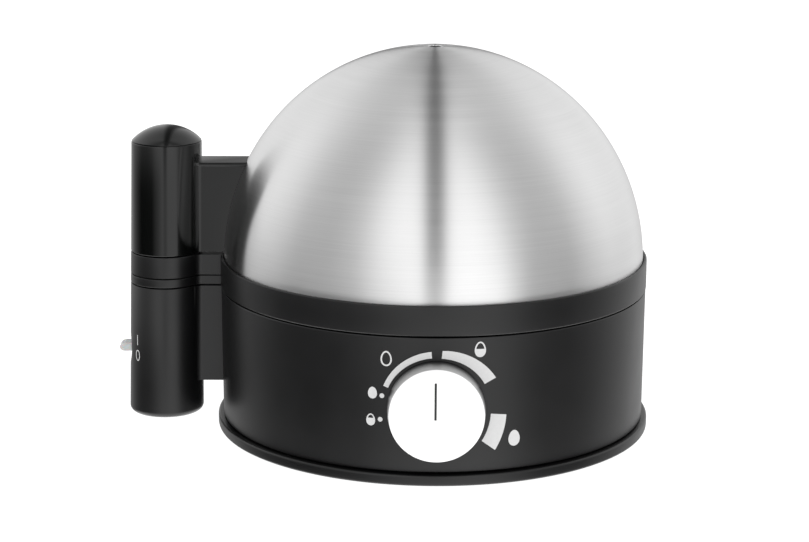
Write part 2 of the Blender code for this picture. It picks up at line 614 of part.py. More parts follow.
def heating_pan(coating):
    """A pressed dish: flange, sloping wall, rounded corner and flat floor."""
    flange_z = DECK_LEDGE + 2 * GAP + SEAL_HEIGHT
    corner_z = PAN_FLOOR + PAN_CORNER
    outer = [
        (0, PAN_FLOOR),
        *arc((PAN_FLOOR_RADIUS - PAN_CORNER, corner_z), PAN_CORNER, -90, -10, 3),
        (PAN_RIM_RADIUS, flange_z), (PAN_FLANGE_RADIUS, flange_z),
    ]
    inner = [
        (PAN_FLANGE_RADIUS, flange_z + PAN_SHEET), (PAN_RIM_RADIUS - PAN_SHEET, flange_z + PAN_SHEET),
        *arc((PAN_FLOOR_RADIUS - PAN_CORNER, corner_z), PAN_CORNER - PAN_SHEET, -10, -90, 3),
        (0, PAN_FLOOR + PAN_SHEET),
    ]
    turned("heating_pan", outer + inner, coating, BIG_SEGMENTS)


def pan_seal(silicone):
    outer = PAN_FLANGE_RADIUS
    turned("pan_seal", ring(outer - SEAL_WIDTH, outer, DECK_LEDGE + GAP, DECK_LEDGE + GAP + SEAL_HEIGHT),
           silicone, BIG_SEGMENTS)


def heat_spreader(aluminium):
    made = turned("heat_spreader", disc(SPREADER_RADIUS, SPREADER_BOTTOM, SPREADER_TOP), aluminium)
    join(made, turned("spreader_stud", disc(STUD_RADIUS, SPREADER_BOTTOM - STUD_LENGTH, SPREADER_TOP - OVERLAP),
                      segments=SMALL_SEGMENTS))


def heating_element(steel):
    """An open ring of sheathed tube whose two ends bend down to their terminals."""
    leg_bend = 2 * ELEMENT_TUBE_RADIUS
    start, end = 90 + ELEMENT_HALF_OPENING, 450 - ELEMENT_HALF_OPENING
    steps = 32
    route = []
    for step in range(steps + 1):
        x, y = on_circle(ELEMENT_RING_RADIUS, start + (end - start) * step / steps)
        route.append((x, y, ELEMENT_Z))
    for place, at_start in ((route[0], True), (route[-1], False)):
        side = -1 if at_start else 1
        leg = [
            (place[0] - side * -0.3 * leg_bend, place[1], ELEMENT_Z - 0.3 * leg_bend),
            (place[0] - side * -0.3 * leg_bend, place[1], ELEMENT_LEG_BOTTOM),
        ]
        route = leg[::-1] + route if at_start else route + leg
    tube("heating_element", route, ELEMENT_TUBE_RADIUS, steel)


def element_terminals(steel):
    x, y = on_circle(ELEMENT_RING_RADIUS, 90 - ELEMENT_HALF_OPENING)
    x += 0.6 * ELEMENT_TUBE_RADIUS
    for number, side in enumerate((-1, 1), 1):
        top = ELEMENT_LEG_BOTTOM - GAP
        made = turned(f"element_terminal_{number}", disc(TERMINAL_RADIUS, top - TERMINAL_LENGTH, top), steel,
                      SMALL_SEGMENTS)
        made.location.x, made.location.y = side * x, y


def clamp_bar(steel):
    low = CLAMP_BAR_TOP - CLAMP_BAR_THICKNESS
    reach = BODY_BORE - GAP - OVERLAP
    bar = block("clamp_bar", (-reach, -CLAMP_BAR_WIDTH / 2, low), (reach, CLAMP_BAR_WIDTH / 2, CLAMP_BAR_TOP), steel)
    within = turned("clamp_bar_ends", disc(BODY_BORE - SEAM, low - OVERSHOOT, CLAMP_BAR_TOP + OVERSHOOT),
                    segments=BIG_SEGMENTS)
    combine(bar, within, "INTERSECT")
    holes = [(-DECK_POST_CIRCLE, 0), (DECK_POST_CIRCLE, 0)]
    cut(bar, rods("clamp_screw_holes", holes, SCREW_CLEAR, low - OVERSHOOT, CLAMP_BAR_TOP + OVERSHOOT))
    cut(bar, rods("stud_hole", [(0, 0)], STUD_RADIUS + GAP, low - OVERSHOOT, CLAMP_BAR_TOP + OVERSHOOT))
    turned("clamp_nut", ring(STUD_RADIUS + 2 * GAP, CLAMP_NUT_RADIUS, low - GAP - CLAMP_NUT_HEIGHT, low - GAP),
           steel, 6)
    for number, side in enumerate((-1, 1), 1):
        made = screw(f"clamp_screw_{number}", PLATE_SCREW_TIP - OVERSHOOT, steel)
        made.location = (side * DECK_POST_CIRCLE, 0, low - GAP)


def thermostat(bakelite):
    top = SPREADER_BOTTOM - GAP
    made = turned("thermostat", [
        (0, top), (THERMOSTAT_RADIUS, top), (THERMOSTAT_RADIUS, top - THERMOSTAT_HEIGHT / 2),
        (0.8 * THERMOSTAT_RADIUS, top - THERMOSTAT_HEIGHT / 2),
        (0.8 * THERMOSTAT_RADIUS, top - THERMOSTAT_HEIGHT), (0, top - THERMOSTAT_HEIGHT),
    ], bakelite)
    made.location.y = THERMOSTAT_Y


def thermal_fuse(steel):
    made = turned("thermal_fuse", disc(FUSE_RADIUS, 0, FUSE_LENGTH), steel, SMALL_SEGMENTS)
    x, y = FUSE_PLACE
    lay_along_y(made, (x, y + FUSE_LENGTH / 2, SPREADER_BOTTOM - GAP - FUSE_RADIUS))


# ---------------------------------------------------------------- electrics

def control_board(board, black, grey):
    standing_block("control_board", BOARD_SIZE, (0, BOARD_Y), BOARD_BOTTOM, board)
    standing_block("power_relay", RELAY_SIZE, RELAY_PLACE, BOARD_TOP + GAP, black)
    standing_block("filter_capacitor", CAPACITOR_SIZE, CAPACITOR_PLACE, BOARD_TOP + GAP, grey)
    buzzer = turned("buzzer", [
        (0, 0), (BUZZER_RADIUS, 0), (BUZZER_RADIUS, BUZZER_HEIGHT), (0.2 * BUZZER_RADIUS, BUZZER_HEIGHT),
        (0.2 * BUZZER_RADIUS, 0.6 * BUZZER_HEIGHT), (0, 0.6 * BUZZER_HEIGHT),
    ], black)
    buzzer.location = (*BUZZER_PLACE, BOARD_TOP + GAP)
    standing_block("terminal_block", TERMINAL_BLOCK_SIZE, (0, TERMINAL_BLOCK_Y), PLATE_FLOOR + GAP, grey)


def regulator(grey, steel):
    back = REGULATOR_FRONT + REGULATOR_DEPTH
    half = REGULATOR_HALF
    case = block("regulator_case", (-half, REGULATOR_FRONT, KNOB_Z - half), (half, back, KNOB_Z + half), grey)
    ear_front = REGULATOR_BOSS_END + GAP
    join(case, block(
        "regulator_ears", (-REGULATOR_EAR_HALF, ear_front, KNOB_Z - REGULATOR_EAR_HEIGHT / 2),
        (REGULATOR_EAR_HALF, ear_front + REGULATOR_EAR_THICKNESS, KNOB_Z + REGULATOR_EAR_HEIGHT / 2)))
    bore_depth = REGULATOR_DEPTH - BODY_WALL
    bore = turned("regulator_bore", disc(SHAFT_RADIUS + GAP, -bore_depth, OVERSHOOT), segments=MID_SEGMENTS)
    cut(case, lay_along_y(bore, (0, REGULATOR_FRONT, KNOB_Z)))
    seat = ear_front + REGULATOR_EAR_THICKNESS + GAP
    for number, side in enumerate((-1, 1), 1):
        place = (side * REGULATOR_SCREW_X, seat, KNOB_Z)
        hole = turned(f"ear_hole_{number}", disc(SCREW_CLEAR, -OVERSHOOT, 3 * REGULATOR_EAR_THICKNESS),
                      segments=SMALL_SEGMENTS)
        cut(case, lay_along_y(hole, place))
        fixing = screw(f"regulator_screw_{number}", 3 * REGULATOR_EAR_THICKNESS, steel, 0.9 * SCREW_HEAD)
        lay_along_y(fixing, place)


def knob(white, steel):
    """The knob's outline runs from its back towards its face, which becomes -Y."""
    length, back, face, edge = KNOB_LENGTH, KNOB_BACK_RADIUS, KNOB_FACE_RADIUS, KNOB_EDGE
    bore = SHAFT_RADIUS + GAP
    skin = length - KNOB_WALL
    made = turned("control_knob", [
        (bore, 0), (KNOB_HUB_RADIUS, 0), (KNOB_HUB_RADIUS, skin), (face - KNOB_WALL, skin),
        (back - KNOB_WALL, 0), (back, 0), (face, length - edge), (face - edge, length),
        (0, length), (0, skin), (bore, skin),
    ], white, BIG_SEGMENTS)
    groove = block(
        "pointer_groove", (-KNOB_GROOVE_WIDTH / 2, KNOB_GROOVE_BOTTOM, length - KNOB_GROOVE_DEPTH),
        (KNOB_GROOVE_WIDTH / 2, KNOB_GROOVE_TOP, length + OVERSHOOT))
    cut(made, groove)
    back_place = (0, KNOB_BACK_Y, KNOB_Z)
    lay_along_y(groove, back_place)
    lay_along_y(made, back_place)
    shaft_start = REGULATOR_FRONT + REGULATOR_DEPTH - BODY_WALL - GAP
    reach = abs(KNOB_FACE_Y - shaft_start) - KNOB_WALL - GAP
    shaft = turned("regulator_shaft", disc(SHAFT_RADIUS, 0, reach), steel)
    lay_along_y(shaft, (0, shaft_start, KNOB_Z))
    inner = KNOB_HUB_RADIUS + GAP
    clip = turned("knob_clip", ring(inner, inner + CLIP_THICKNESS, 0, CLIP_LENGTH), steel)
    slit = block("clip_slit", (-SHAFT_RADIUS / 2, 0, -OVERSHOOT),
                 (SHAFT_RADIUS / 2, -2 * inner, CLIP_LENGTH + OVERSHOOT))
    cut(clip, slit)
    for part in (clip, slit):
        lay_along_y(part, (0, KNOB_BACK_Y - GAP, KNOB_Z))


def switch(black, clear_white, steel):
    case_right = SWITCH_PIVOT_X + SWITCH_CASE_SIZE[0] - SWITCH_BARREL_RADIUS
    case_left = case_right - SWITCH_CASE_SIZE[0]
    half_y, half_z = SWITCH_CASE_SIZE[1] / 2, SWITCH_CASE_SIZE[2] / 2
    case = block("switch_case", (case_left, -half_y, SWITCH_Z - half_z), (case_right, half_y, SWITCH_Z + half_z), black)
    slot_half = half_y - SWITCH_CHEEK
    slot_right = SWITCH_PIVOT_X + SWITCH_BARREL_RADIUS + GAP
    slot_top = SWITCH_BARREL_RADIUS + 4 * GAP
    cut(case, block("lever_slot", (case_left - OVERSHOOT, -slot_half, SWITCH_Z - slot_top),
                    (slot_right, slot_half, SWITCH_Z + slot_top)))
    pivot = (SWITCH_PIVOT_X, 0, SWITCH_Z)
    pin_half = half_y - GAP
    pin_hole = turned("switch_pin_hole", disc(SWITCH_PIN_RADIUS + GAP, -half_y - OVERSHOOT, half_y + OVERSHOOT),
                      segments=SMALL_SEGMENTS)
    cut(case, lay_along_y(pin_hole, pivot))
    pin = turned("switch_pin", disc(SWITCH_PIN_RADIUS, -pin_half, pin_half), steel, SMALL_SEGMENTS)
    lay_along_y(pin, pivot)
    switch_lever(clear_white, pivot, pin_hole)
    for number, side in enumerate((-1, 1), 1):
        height = SWITCH_Z + side * half_z / 2
        length, width, thickness = BLADE_SIZE
        block(f"switch_blade_{number}", (case_right + GAP, -width / 2, height - thickness / 2),
              (case_right + GAP + length, width / 2, height + thickness / 2), steel)


def switch_lever(clear_white, pivot, pin_hole):
    """A barrel on the pin with a flat, round-nosed thumb piece, tilted down in its off position."""
    reach = abs(SWITCH_TIP_X - SWITCH_PIVOT_X)
    half = SWITCH_LEVER_THICKNESS / 2
    nose_start = reach - 1.3 * half
    nose = []
    for step in range(9):
        angle = math.radians(90 - 180 * step / 8)
        nose.append((-nose_start - 1.3 * half * math.cos(angle), half * math.sin(angle)))
    outline = [(0, half), *nose, (0, -half)]
    shape = bmesh.new()
    width = SWITCH_LEVER_HALF_WIDTH
    front = shape.faces.new([shape.verts.new((x, -width, z)) for x, z in outline])
    side = bmesh.ops.extrude_face_region(shape, geom=[front])
    moved = [item for item in side["geom"] if isinstance(item, bmesh.types.BMVert)]
    bmesh.ops.translate(shape, vec=(0, 2 * width, 0), verts=moved)
    lever = finish("switch_lever", shape, clear_white)
    lever.location = pivot
    lever.rotation_euler.y = math.radians(-SWITCH_REST_TILT)
    barrel = turned("lever_barrel", disc(SWITCH_BARREL_RADIUS, -width, width))
    join(lever, lay_along_y(barrel, pivot))
    cut(lever, pin_hole)


def inside(x_share, y_share, height):
    """A point in the base, by its shares of the housing's bore and its height in millimetres."""
    return BODY_BORE * x_share, BODY_BORE * y_share, height * MM


def leads(insulation):
    """Internal wiring, each lead on one smooth curve between two terminals."""
    clear = GAP + LEAD_RADIUS
    block_top = PLATE_FLOOR + 2 * GAP + TERMINAL_BLOCK_SIZE[2] + LEAD_RADIUS
    low_blade = SWITCH_Z - SWITCH_CASE_SIZE[2] / 4
    high_blade = SWITCH_Z + SWITCH_CASE_SIZE[2] / 4
    blade_end = SWITCH_PIVOT_X + SWITCH_CASE_SIZE[0] - SWITCH_BARREL_RADIUS + 2 * GAP + BLADE_SIZE[0]
    terminal_x, terminal_y = on_circle(ELEMENT_RING_RADIUS, 90 - ELEMENT_HALF_OPENING)
    terminal_x += 0.6 * ELEMENT_TUBE_RADIUS
    terminal_z = ELEMENT_LEG_BOTTOM - TERMINAL_LENGTH - GAP - LEAD_RADIUS
    routes = {
        "lead_supply": [
            (-TERMINAL_BLOCK_SIZE[0] / 2 - clear, TERMINAL_BLOCK_Y, 9 * MM), inside(-0.35, 0.68, 9),
            inside(-0.66, 0.45, 11), inside(-0.87, 0.165, 21), inside(-1.01, 0.02, 27), (blade_end, 0, low_blade),
        ],
        "lead_switched": [
            (blade_end, 0, high_blade), inside(-1.02, -0.01, 32), inside(-0.89, -0.11, 27),
            inside(-0.66, -0.35, 21), inside(-0.47, -0.45, 18),
            (-BOARD_SIZE[0] / 2 - clear, BOARD_Y, BOARD_BOTTOM + BOARD_SIZE[2] / 2),
        ],
        "lead_heater_live": [
            (BOARD_SIZE[0] / 2 + clear, BOARD_Y, BOARD_BOTTOM + BOARD_SIZE[2] / 2), inside(0.49, -0.42, 15),
            inside(0.59, -0.09, 16), inside(0.47, 0.31, 14), (terminal_x, terminal_y, terminal_z - 8 * MM),
            (terminal_x, terminal_y, terminal_z),
        ],
        "lead_heater_return": [
            (-6 * MM, TERMINAL_BLOCK_Y - 3 * MM, block_top),
            (-8 * MM, TERMINAL_BLOCK_Y - 6 * MM, 0.8 * block_top + 0.2 * (terminal_z - 6 * MM)),
            (-terminal_x, terminal_y, terminal_z - 6 * MM), (-terminal_x, terminal_y, terminal_z),
        ],
    }
    for name, points in routes.items():
        tube(name, smooth_route(points, LEAD_POINTS), LEAD_RADIUS, insulation)


# ---------------------------------------------------------------- carrier and lid

def egg_carrier(plastic):
    """Collar, perforated plate and the tab that fills the grip column between the deck and the lid."""
    edge = GAP
    made = turned("egg_carrier", [
        (0, CARRIER_PLATE_BOTTOM), (COLLAR_BORE, CARRIER_PLATE_BOTTOM), (COLLAR_BORE, COLLAR_BOTTOM),
        (COLLAR_RADIUS, COLLAR_BOTTOM), (COLLAR_RADIUS, COLLAR_TOP - edge), (COLLAR_RADIUS - edge, COLLAR_TOP),
        (COLLAR_BORE, COLLAR_TOP), (COLLAR_BORE, CARRIER_PLATE_TOP), (0, CARRIER_PLATE_TOP),
    ], plastic, BIG_SEGMENTS)
    eggs = [(0, 0)] + [on_circle(EGG_HOLE_CIRCLE, 360 * n / OUTER_EGGS) for n in range(OUTER_EGGS)]
    steam = [on_circle(STEAM_HOLE_CIRCLE, 360 * (n + 0.5) / OUTER_EGGS) for n in range(OUTER_EGGS)]
    through = (EGG_HOLE_RIM_BOTTOM - OVERSHOOT, CARRIER_PLATE_TOP + OVERSHOOT)
    join(made, rods("egg_hole_rims", eggs, EGG_HOLE_RADIUS + EGG_HOLE_RIM, EGG_HOLE_RIM_BOTTOM,
                    CARRIER_PLATE_TOP - OVERLAP, MID_SEGMENTS))
    cut(made, rods("egg_holes", eggs, EGG_HOLE_RADIUS, *through, MID_SEGMENTS))
    cut(made, rods("steam_holes", steam, STEAM_HOLE_RADIUS, *through))
    join(made, block(
        "carrier_neck", (COLUMN_X + COLUMN_TOP_RADIUS - OVERLAP, -NECK_HALF_WIDTH, DECK_TOP - OVERLAP + NECK_STEP),
        (-COLLAR_BORE - OVERLAP, NECK_HALF_WIDTH, CARRIER_TAB_TOP - GAP)))
    join(made, column_slice("carrier_tab", DECK_TOP - OVERLAP, CARRIER_TAB_TOP))
    # One notch clears the deck's neck under the collar and its tab under the column.
    neck, column, beside = NECK_HALF_WIDTH + SEAM, 2 * COLUMN_BOTTOM_RADIUS, -COLLAR_RADIUS - SEAM
    cut(made, prism("deck_notch", [
        (-COLLAR_BORE + OVERSHOOT, -neck), (-COLLAR_BORE + OVERSHOOT, neck), (beside, neck), (beside, column),
        (COLUMN_X - column, column), (COLUMN_X - column, -column), (beside, -column), (beside, -neck),
    ], COLLAR_BOTTOM - OVERSHOOT, CARRIER_TAB_BOTTOM))
    roof = CARRIER_TAB_TOP - COLUMN_WALL
    cut(made, column_slice("carrier_tab_pocket", DECK_TOP - OVERSHOOT, roof, COLUMN_WALL))
    half = NECK_HALF_WIDTH - NECK_WALL
    cut(made, block("carrier_neck_pocket", (COLUMN_X + COLUMN_WALL, -half, DECK_TOP - OVERSHOOT),
                    (-COLLAR_RADIUS - COLUMN_WALL, half, roof - NECK_STEP)))


def lid_dome(steel):
    outer = dome_outline(DOME_RADIUS, DOME_HEIGHT, VENT_HOLE_RADIUS)
    inner = dome_outline(DOME_RADIUS - DOME_SHEET, DOME_HEIGHT - DOME_SHEET, VENT_HOLE_RADIUS)
    made = turned("lid_dome", [
        (DOME_RADIUS, DOME_BOTTOM), *outer, *inner[::-1], (DOME_RADIUS - DOME_SHEET, DOME_BOTTOM),
    ], steel, BIG_SEGMENTS)
    for number, height in enumerate(HANDLE_SCREW_HEIGHTS, 1):
        hole = turned(f"dome_screw_hole_{number}", disc(SCREW_CLEAR, -3 * OVERSHOOT, OVERSHOOT),
                      segments=SMALL_SEGMENTS)
        hole.matrix_world = dome_seat(height, 0)
        cut(made, hole)


def lid_handle(plastic, steel):
    """A hollow tapered grip with a web and a flat top flange that end against the dome."""
    made = column_slice("lid_handle", HANDLE_BOTTOM, COLUMN_TOP, 0, plastic)
    left = COLUMN_X + COLUMN_TOP_RADIUS - OVERLAP
    right = -DOME_RADIUS / 2
    web_half = HANDLE_WEB_HALF_WIDTH
    flange_bottom = HANDLE_TOP_Z - HANDLE_TOP_THICKNESS
    parts = [
        block("handle_web", (left, -web_half, HANDLE_WEB_BOTTOM), (right, web_half, flange_bottom + OVERLAP)),
        block("handle_flange", (COLUMN_X, -HANDLE_TOP_HALF_WIDTH, flange_bottom),
              (right, HANDLE_TOP_HALF_WIDTH, HANDLE_TOP_Z)),
    ]
    pocket_half = web_half - HANDLE_WEB_WALL
    pocket = block("web_pocket", (left + 2 * HANDLE_WEB_WALL, -pocket_half, HANDLE_WEB_BOTTOM + HANDLE_WEB_WALL),
                   (right + OVERSHOOT, pocket_half, flange_bottom - HANDLE_WEB_WALL))
    for part in parts:
        join(made, part)
    cut(made, pocket)
    for number, height in enumerate(HANDLE_SCREW_HEIGHTS, 1):
        boss = turned(f"handle_boss_{number}", disc(HANDLE_BOSS_RADIUS, -OVERSHOOT, HANDLE_SCREW_DEPTH),
                      segments=SMALL_SEGMENTS)
        boss.matrix_world = dome_seat(height, 0)
        join(made, boss)
    clearance = turned("dome_clearance", [
        (0, DOME_BOTTOM - OVERSHOOT), (DOME_RADIUS + GAP, DOME_BOTTOM - OVERSHOOT),
        *dome_outline(DOME_RADIUS + GAP, DOME_HEIGHT + GAP, 0),
    ], segments=BIG_SEGMENTS)
    cut(made, clearance)
    cut(made, column_slice("handle_bore", HANDLE_BOTTOM + HANDLE_FLOOR, COLUMN_TOP + OVERSHOOT, COLUMN_WALL))
    for number, height in enumerate(HANDLE_SCREW_HEIGHTS, 1):
        pilot = turned(f"handle_pilot_{number}", disc(SCREW_PILOT, -OVERSHOOT, HANDLE_SCREW_DEPTH - OVERSHOOT),
                       segments=SMALL_SEGMENTS)
        pilot.matrix_world = dome_seat(height, 0)
        cut(made, pilot)
        washer = turned(f"handle_washer_{number}", ring(SCREW_CLEAR, WASHER_RADIUS, 0, WASHER_THICKNESS), steel)
        washer.matrix_world = dome_seat(height, -DOME_SHEET - 2 * GAP - WASHER_THICKNESS)
        fixing = screw(f"handle_screw_{number}", HANDLE_SCREW_DEPTH - OVERSHOOT, steel)
        fixing.matrix_world = dome_seat(height, -DOME_SHEET - 3 * GAP - WASHER_THICKNESS)


def handle_cap(plastic):
    """A shallow spherical cap whose spigot plugs the hollow grip."""
    edge_z = COLUMN_TOP + GAP
    rise = CAP_APEX - edge_z
    sphere = (COLUMN_TOP_RADIUS**2 + rise**2) / (2 * rise)
    centre = (0, CAP_APEX - sphere)
    start = math.degrees(math.asin((edge_z - centre[1]) / sphere))
    spigot = column_radius(COLUMN_TOP) - COLUMN_WALL - GAP
    inner = sphere - CAP_SKIN
    inner_start = math.degrees(math.acos((spigot - CAP_SKIN) / inner))
    lean(turned("handle_cap", [
        *arc(centre, sphere, start, 90, 6), *arc(centre, inner, 90, inner_start, 4),
        (spigot - CAP_SKIN, CAP_SPIGOT_BOTTOM), (spigot, CAP_SPIGOT_BOTTOM), (spigot, edge_z),
    ], plastic))


# ---------------------------------------------------------------- the whole object

def main():
    clear_scene()
    satin_black = material("satin_black_plastic", (0.020, 0.020, 0.022), 0.42)
    gloss_black = material("gloss_black_plastic", (0.010, 0.010, 0.011), 0.12)
    brushed = material("brushed_steel", (0.62, 0.62, 0.61), 0.30, 1.0)
    plain_steel = material("plain_steel", (0.55, 0.55, 0.55), 0.35, 1.0)
    aluminium = material("cast_aluminium", (0.70, 0.70, 0.72), 0.45, 1.0)
    coating = material("pan_coating", (0.16, 0.16, 0.17), 0.35, 0.6)
    knob_white = material("knob_white_plastic", (0.86, 0.86, 0.86), 0.28)
    lever_white = material("clear_white_plastic", (0.80, 0.81, 0.81), 0.22)
    rubber = material("black_rubber", (0.03, 0.03, 0.03), 0.80)
    silicone = material("red_silicone", (0.45, 0.08, 0.05), 0.60)
    board = material("board_green", (0.03, 0.18, 0.08), 0.50)
    grey = material("grey_plastic", (0.35, 0.35, 0.36), 0.50)
    insulation = material("lead_insulation", (0.60, 0.55, 0.45), 0.55)

    bottom_plate(satin_black)
    feet(rubber)
    plate_screws(plain_steel)
    base_shell(satin_black)
    deck(satin_black)
    deck_screws(plain_steel)
    cord_gland(rubber)

    heating_pan(coating)
    pan_seal(silicone)
    heat_spreader(aluminium)
    heating_element(plain_steel)
    element_terminals(plain_steel)
    clamp_bar(plain_steel)
    thermostat(satin_black)
    thermal_fuse(plain_steel)

    control_board(board, satin_black, grey)
    regulator(grey, plain_steel)
    knob(knob_white, plain_steel)
    switch(satin_black, lever_white, plain_steel)
    leads(insulation)

    egg_carrier(satin_black)
    lid_dome(brushed)
    lid_handle(gloss_black, plain_steel)
    handle_cap(gloss_black)


main()
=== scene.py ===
"""Egg cooker: a brushed steel dome on a black base, with a grip column, a white dial knob and a lift-off carrier.

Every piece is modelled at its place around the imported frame. The dome's axis is +Z, the knob faces -Y and
the grip column stands at -X. Lengths are in metres.
"""

import math

import bpy
from mathutils import Matrix, Quaternion, Vector


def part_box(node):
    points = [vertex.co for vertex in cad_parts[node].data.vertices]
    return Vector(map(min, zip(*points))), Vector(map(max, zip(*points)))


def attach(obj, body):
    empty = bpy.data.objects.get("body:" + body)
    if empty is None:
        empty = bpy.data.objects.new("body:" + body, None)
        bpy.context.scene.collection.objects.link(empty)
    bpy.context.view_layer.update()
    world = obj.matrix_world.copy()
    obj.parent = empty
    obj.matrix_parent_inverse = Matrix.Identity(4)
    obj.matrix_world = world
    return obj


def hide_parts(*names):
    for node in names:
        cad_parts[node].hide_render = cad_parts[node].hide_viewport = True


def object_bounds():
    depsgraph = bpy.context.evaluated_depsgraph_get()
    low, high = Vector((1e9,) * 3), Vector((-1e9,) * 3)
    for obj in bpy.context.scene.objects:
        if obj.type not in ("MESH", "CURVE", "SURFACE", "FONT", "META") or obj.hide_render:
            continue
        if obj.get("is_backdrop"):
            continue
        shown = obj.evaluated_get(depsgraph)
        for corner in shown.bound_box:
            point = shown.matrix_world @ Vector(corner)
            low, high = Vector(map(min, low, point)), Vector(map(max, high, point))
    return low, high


bl_info = {
    "name": "Egg Cooker",
    "version": (1, 0, 0),
    "blender": (4, 5, 0),
    "location": "View3D > Sidebar > Egg Cooker",
    "description": "Models an egg cooker with a steel dome, a black base and a grip column",
    "category": "Add Mesh",
}

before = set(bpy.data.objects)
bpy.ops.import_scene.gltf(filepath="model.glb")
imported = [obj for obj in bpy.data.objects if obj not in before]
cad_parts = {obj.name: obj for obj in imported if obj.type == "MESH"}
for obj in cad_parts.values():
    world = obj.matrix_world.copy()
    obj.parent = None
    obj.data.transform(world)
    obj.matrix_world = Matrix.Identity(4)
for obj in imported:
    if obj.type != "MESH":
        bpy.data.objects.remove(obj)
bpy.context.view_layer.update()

MM = 0.001
MERGE = 1e-6
PAST = 2 * MM               # how far a cutter runs past the face that it opens
INTO = 0.8 * MM             # how far a joined shape reaches into its neighbour
GAP = 0.3 * MM
FINE = 192                  # steps round the big turned pieces
ROUND = 96                  # steps round the grip column
SMALL = 48                  # steps round small turned pieces


def low(node, axis):
    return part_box(node)[0]["xyz".index(axis)]


def high(node, axis):
    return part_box(node)[1]["xyz".index(axis)]


# Sizes that several pieces share
COLUMN_RADIUS = 15.4 * MM   # at its foot
COLUMN_LEAN = 0.0176        # how far the column's axis moves inwards for each metre of height
SHELL_FOOT = 4.9 * MM
PLATE_RIM = 4.4 * MM
POST_CIRCLE = 81.5 * MM     # where the bottom plate's screws stand
POST_ANGLES = (45, 135, 225, 315)
FOOT_CIRCLE = 74.0 * MM
FOOT_ANGLES = (0, 90, 180, 270)
DECK_LEDGE_RADIUS = 82.2 * MM
SWITCH_HEIGHT = 31.4 * MM
HANDLE_SCREW_HEIGHTS = (82.0 * MM, 100.0 * MM)
UP = (0, 0, 1)
TOOL_TURN = math.radians(0.8)

# Places that the frame gives
COLUMN_FOOT = low("base_shell", "z")
COLUMN_X = low("base_shell", "x") + COLUMN_RADIUS
DOME_R = high("lid_dome", "x")
DOME_FOOT = low("lid_dome", "z")
DOME_TOP = high("lid_dome", "z")
COLLAR_R = high("egg_carrier", "x")
COLLAR_FOOT = low("egg_carrier", "z")
TAB_TOP = high("egg_carrier", "z")
COLLAR_TOP = TAB_TOP - 0.7 * MM
SHELL_R = high("base_shell", "x")
SHELL_TOP = high("base_shell", "z")
DECK_FOOT = SHELL_TOP + 0.5 * MM
DECK_TOP = high("deck", "z")
PLATE_R = high("bottom_plate", "x")
KNOB_BACK = high("control_knob", "y")
KNOB_FACE = low("control_knob", "y")
KNOB_Z = (low("control_knob", "z") + high("control_knob", "z")) / 2
GRIP_FOOT = low("lid_handle", "z")
GRIP_TOP = high("lid_handle", "z")
CAP_TOP = high("handle_cap", "z")


# ---------------------------------------------------------------- settings

def length(name, description, default):
    return bpy.props.FloatProperty(
        name=name, description=description, default=default, min=0.0, precision=5, unit="LENGTH")


def share(name, description, default):
    return bpy.props.FloatProperty(
        name=name, description=description, default=default, min=0.0, max=1.0, subtype="FACTOR")


def colour(name, description, default):
    return bpy.props.FloatVectorProperty(
        name=name, description=description, default=default, size=3, min=0.0, max=1.0, subtype="COLOR")


class EggCookerStage(bpy.types.PropertyGroup):
    floor_colour: colour("Floor colour", "Colour of the plain floor", (0.25, 0.25, 0.25))
    world_strength: bpy.props.FloatProperty(
        name="Surroundings", description="Brightness of the pale surroundings", default=1.0, min=0.0)
    front_power: bpy.props.FloatProperty(
        name="Front softbox", description="Power of the soft light at the front",
        default=14.0, min=0.0, unit="POWER")
    lens: bpy.props.FloatProperty(
        name="Lens", description="Focal length of the camera", default=103.2, min=1.0, unit="CAMERA")


class EggCookerDome(bpy.types.PropertyGroup):
    centre_height: length("Centre height", "Height of the middle of the dome's curve", 69.5 * MM)
    sheet: length("Sheet", "Thickness of the steel", 0.8 * MM)
    vent_radius: length("Steam hole radius", "Radius of the hole at the top", 3.15 * MM)
    steel: colour("Steel", "Colour of the brushed steel", (0.69, 0.69, 0.69))
    roughness: share("Roughness", "Mean roughness of the brushed steel", 0.30)


class EggCookerHandle(bpy.types.PropertyGroup):
    foot_radius: length("Column foot radius", "Radius of the grip column at the base's bottom", COLUMN_RADIUS)
    top_radius: length("Column radius at its top", "Radius of the grip column under the cap", 14.4 * MM)
    wall: length("Wall", "Wall of the hollow grip", 2.0 * MM)
    web_half: length("Web half width", "Half the width of the web between column and dome", 6.8 * MM)
    flange_half: length("Flange half width", "Half the width of the flange on the web", 7.6 * MM)
    flange_top: length("Flange height", "Height of the flange's upper face", 110.4 * MM)
    fillet: length("Fillet", "Radius of the fillets between web and column", 4.0 * MM)
    gloss_black: colour("Gloss black", "Colour of the glossy grip", (0.0008, 0.001, 0.0009))


class EggCookerCarrier(bpy.types.PropertyGroup):
    collar_wall: length("Collar wall", "Wall of the collar round the dome", 1.3 * MM)
    hole_radius: length("Egg hole radius", "Radius of the holes for the eggs", 18.5 * MM)
    hole_circle: length("Egg circle", "Radius of the circle of the outer eggs", 50.0 * MM)
    outer_eggs: bpy.props.IntProperty(
        name="Outer eggs", description="Number of eggs round the middle one", default=6, min=1)


class EggCookerBase(bpy.types.PropertyGroup):
    draft: length("Draft", "How much slimmer the base is at its foot than at its top", 0.3 * MM)
    wall: length("Wall", "Wall of the base", 3.0 * MM)
    web_foot: length("Web height", "Height of the lower edge of the base's web", 17.9 * MM)
    satin_black: colour("Satin black", "Colour of the satin plastic", (0.002, 0.002, 0.0022))
    print_grey: colour("Print", "Colour of the printed dial", (0.54, 0.54, 0.54))


class EggCookerKnob(bpy.types.PropertyGroup):
    face_radius: length("Face radius", "Radius of the knob's face", 18.3 * MM)
    back_radius: length("Back radius", "Radius of the knob at its back", 19.1 * MM)
    edge: length("Edge", "Rounding of the knob's face", 0.9 * MM)
    white: colour("White", "Colour of the knob", (0.86, 0.86, 0.86))


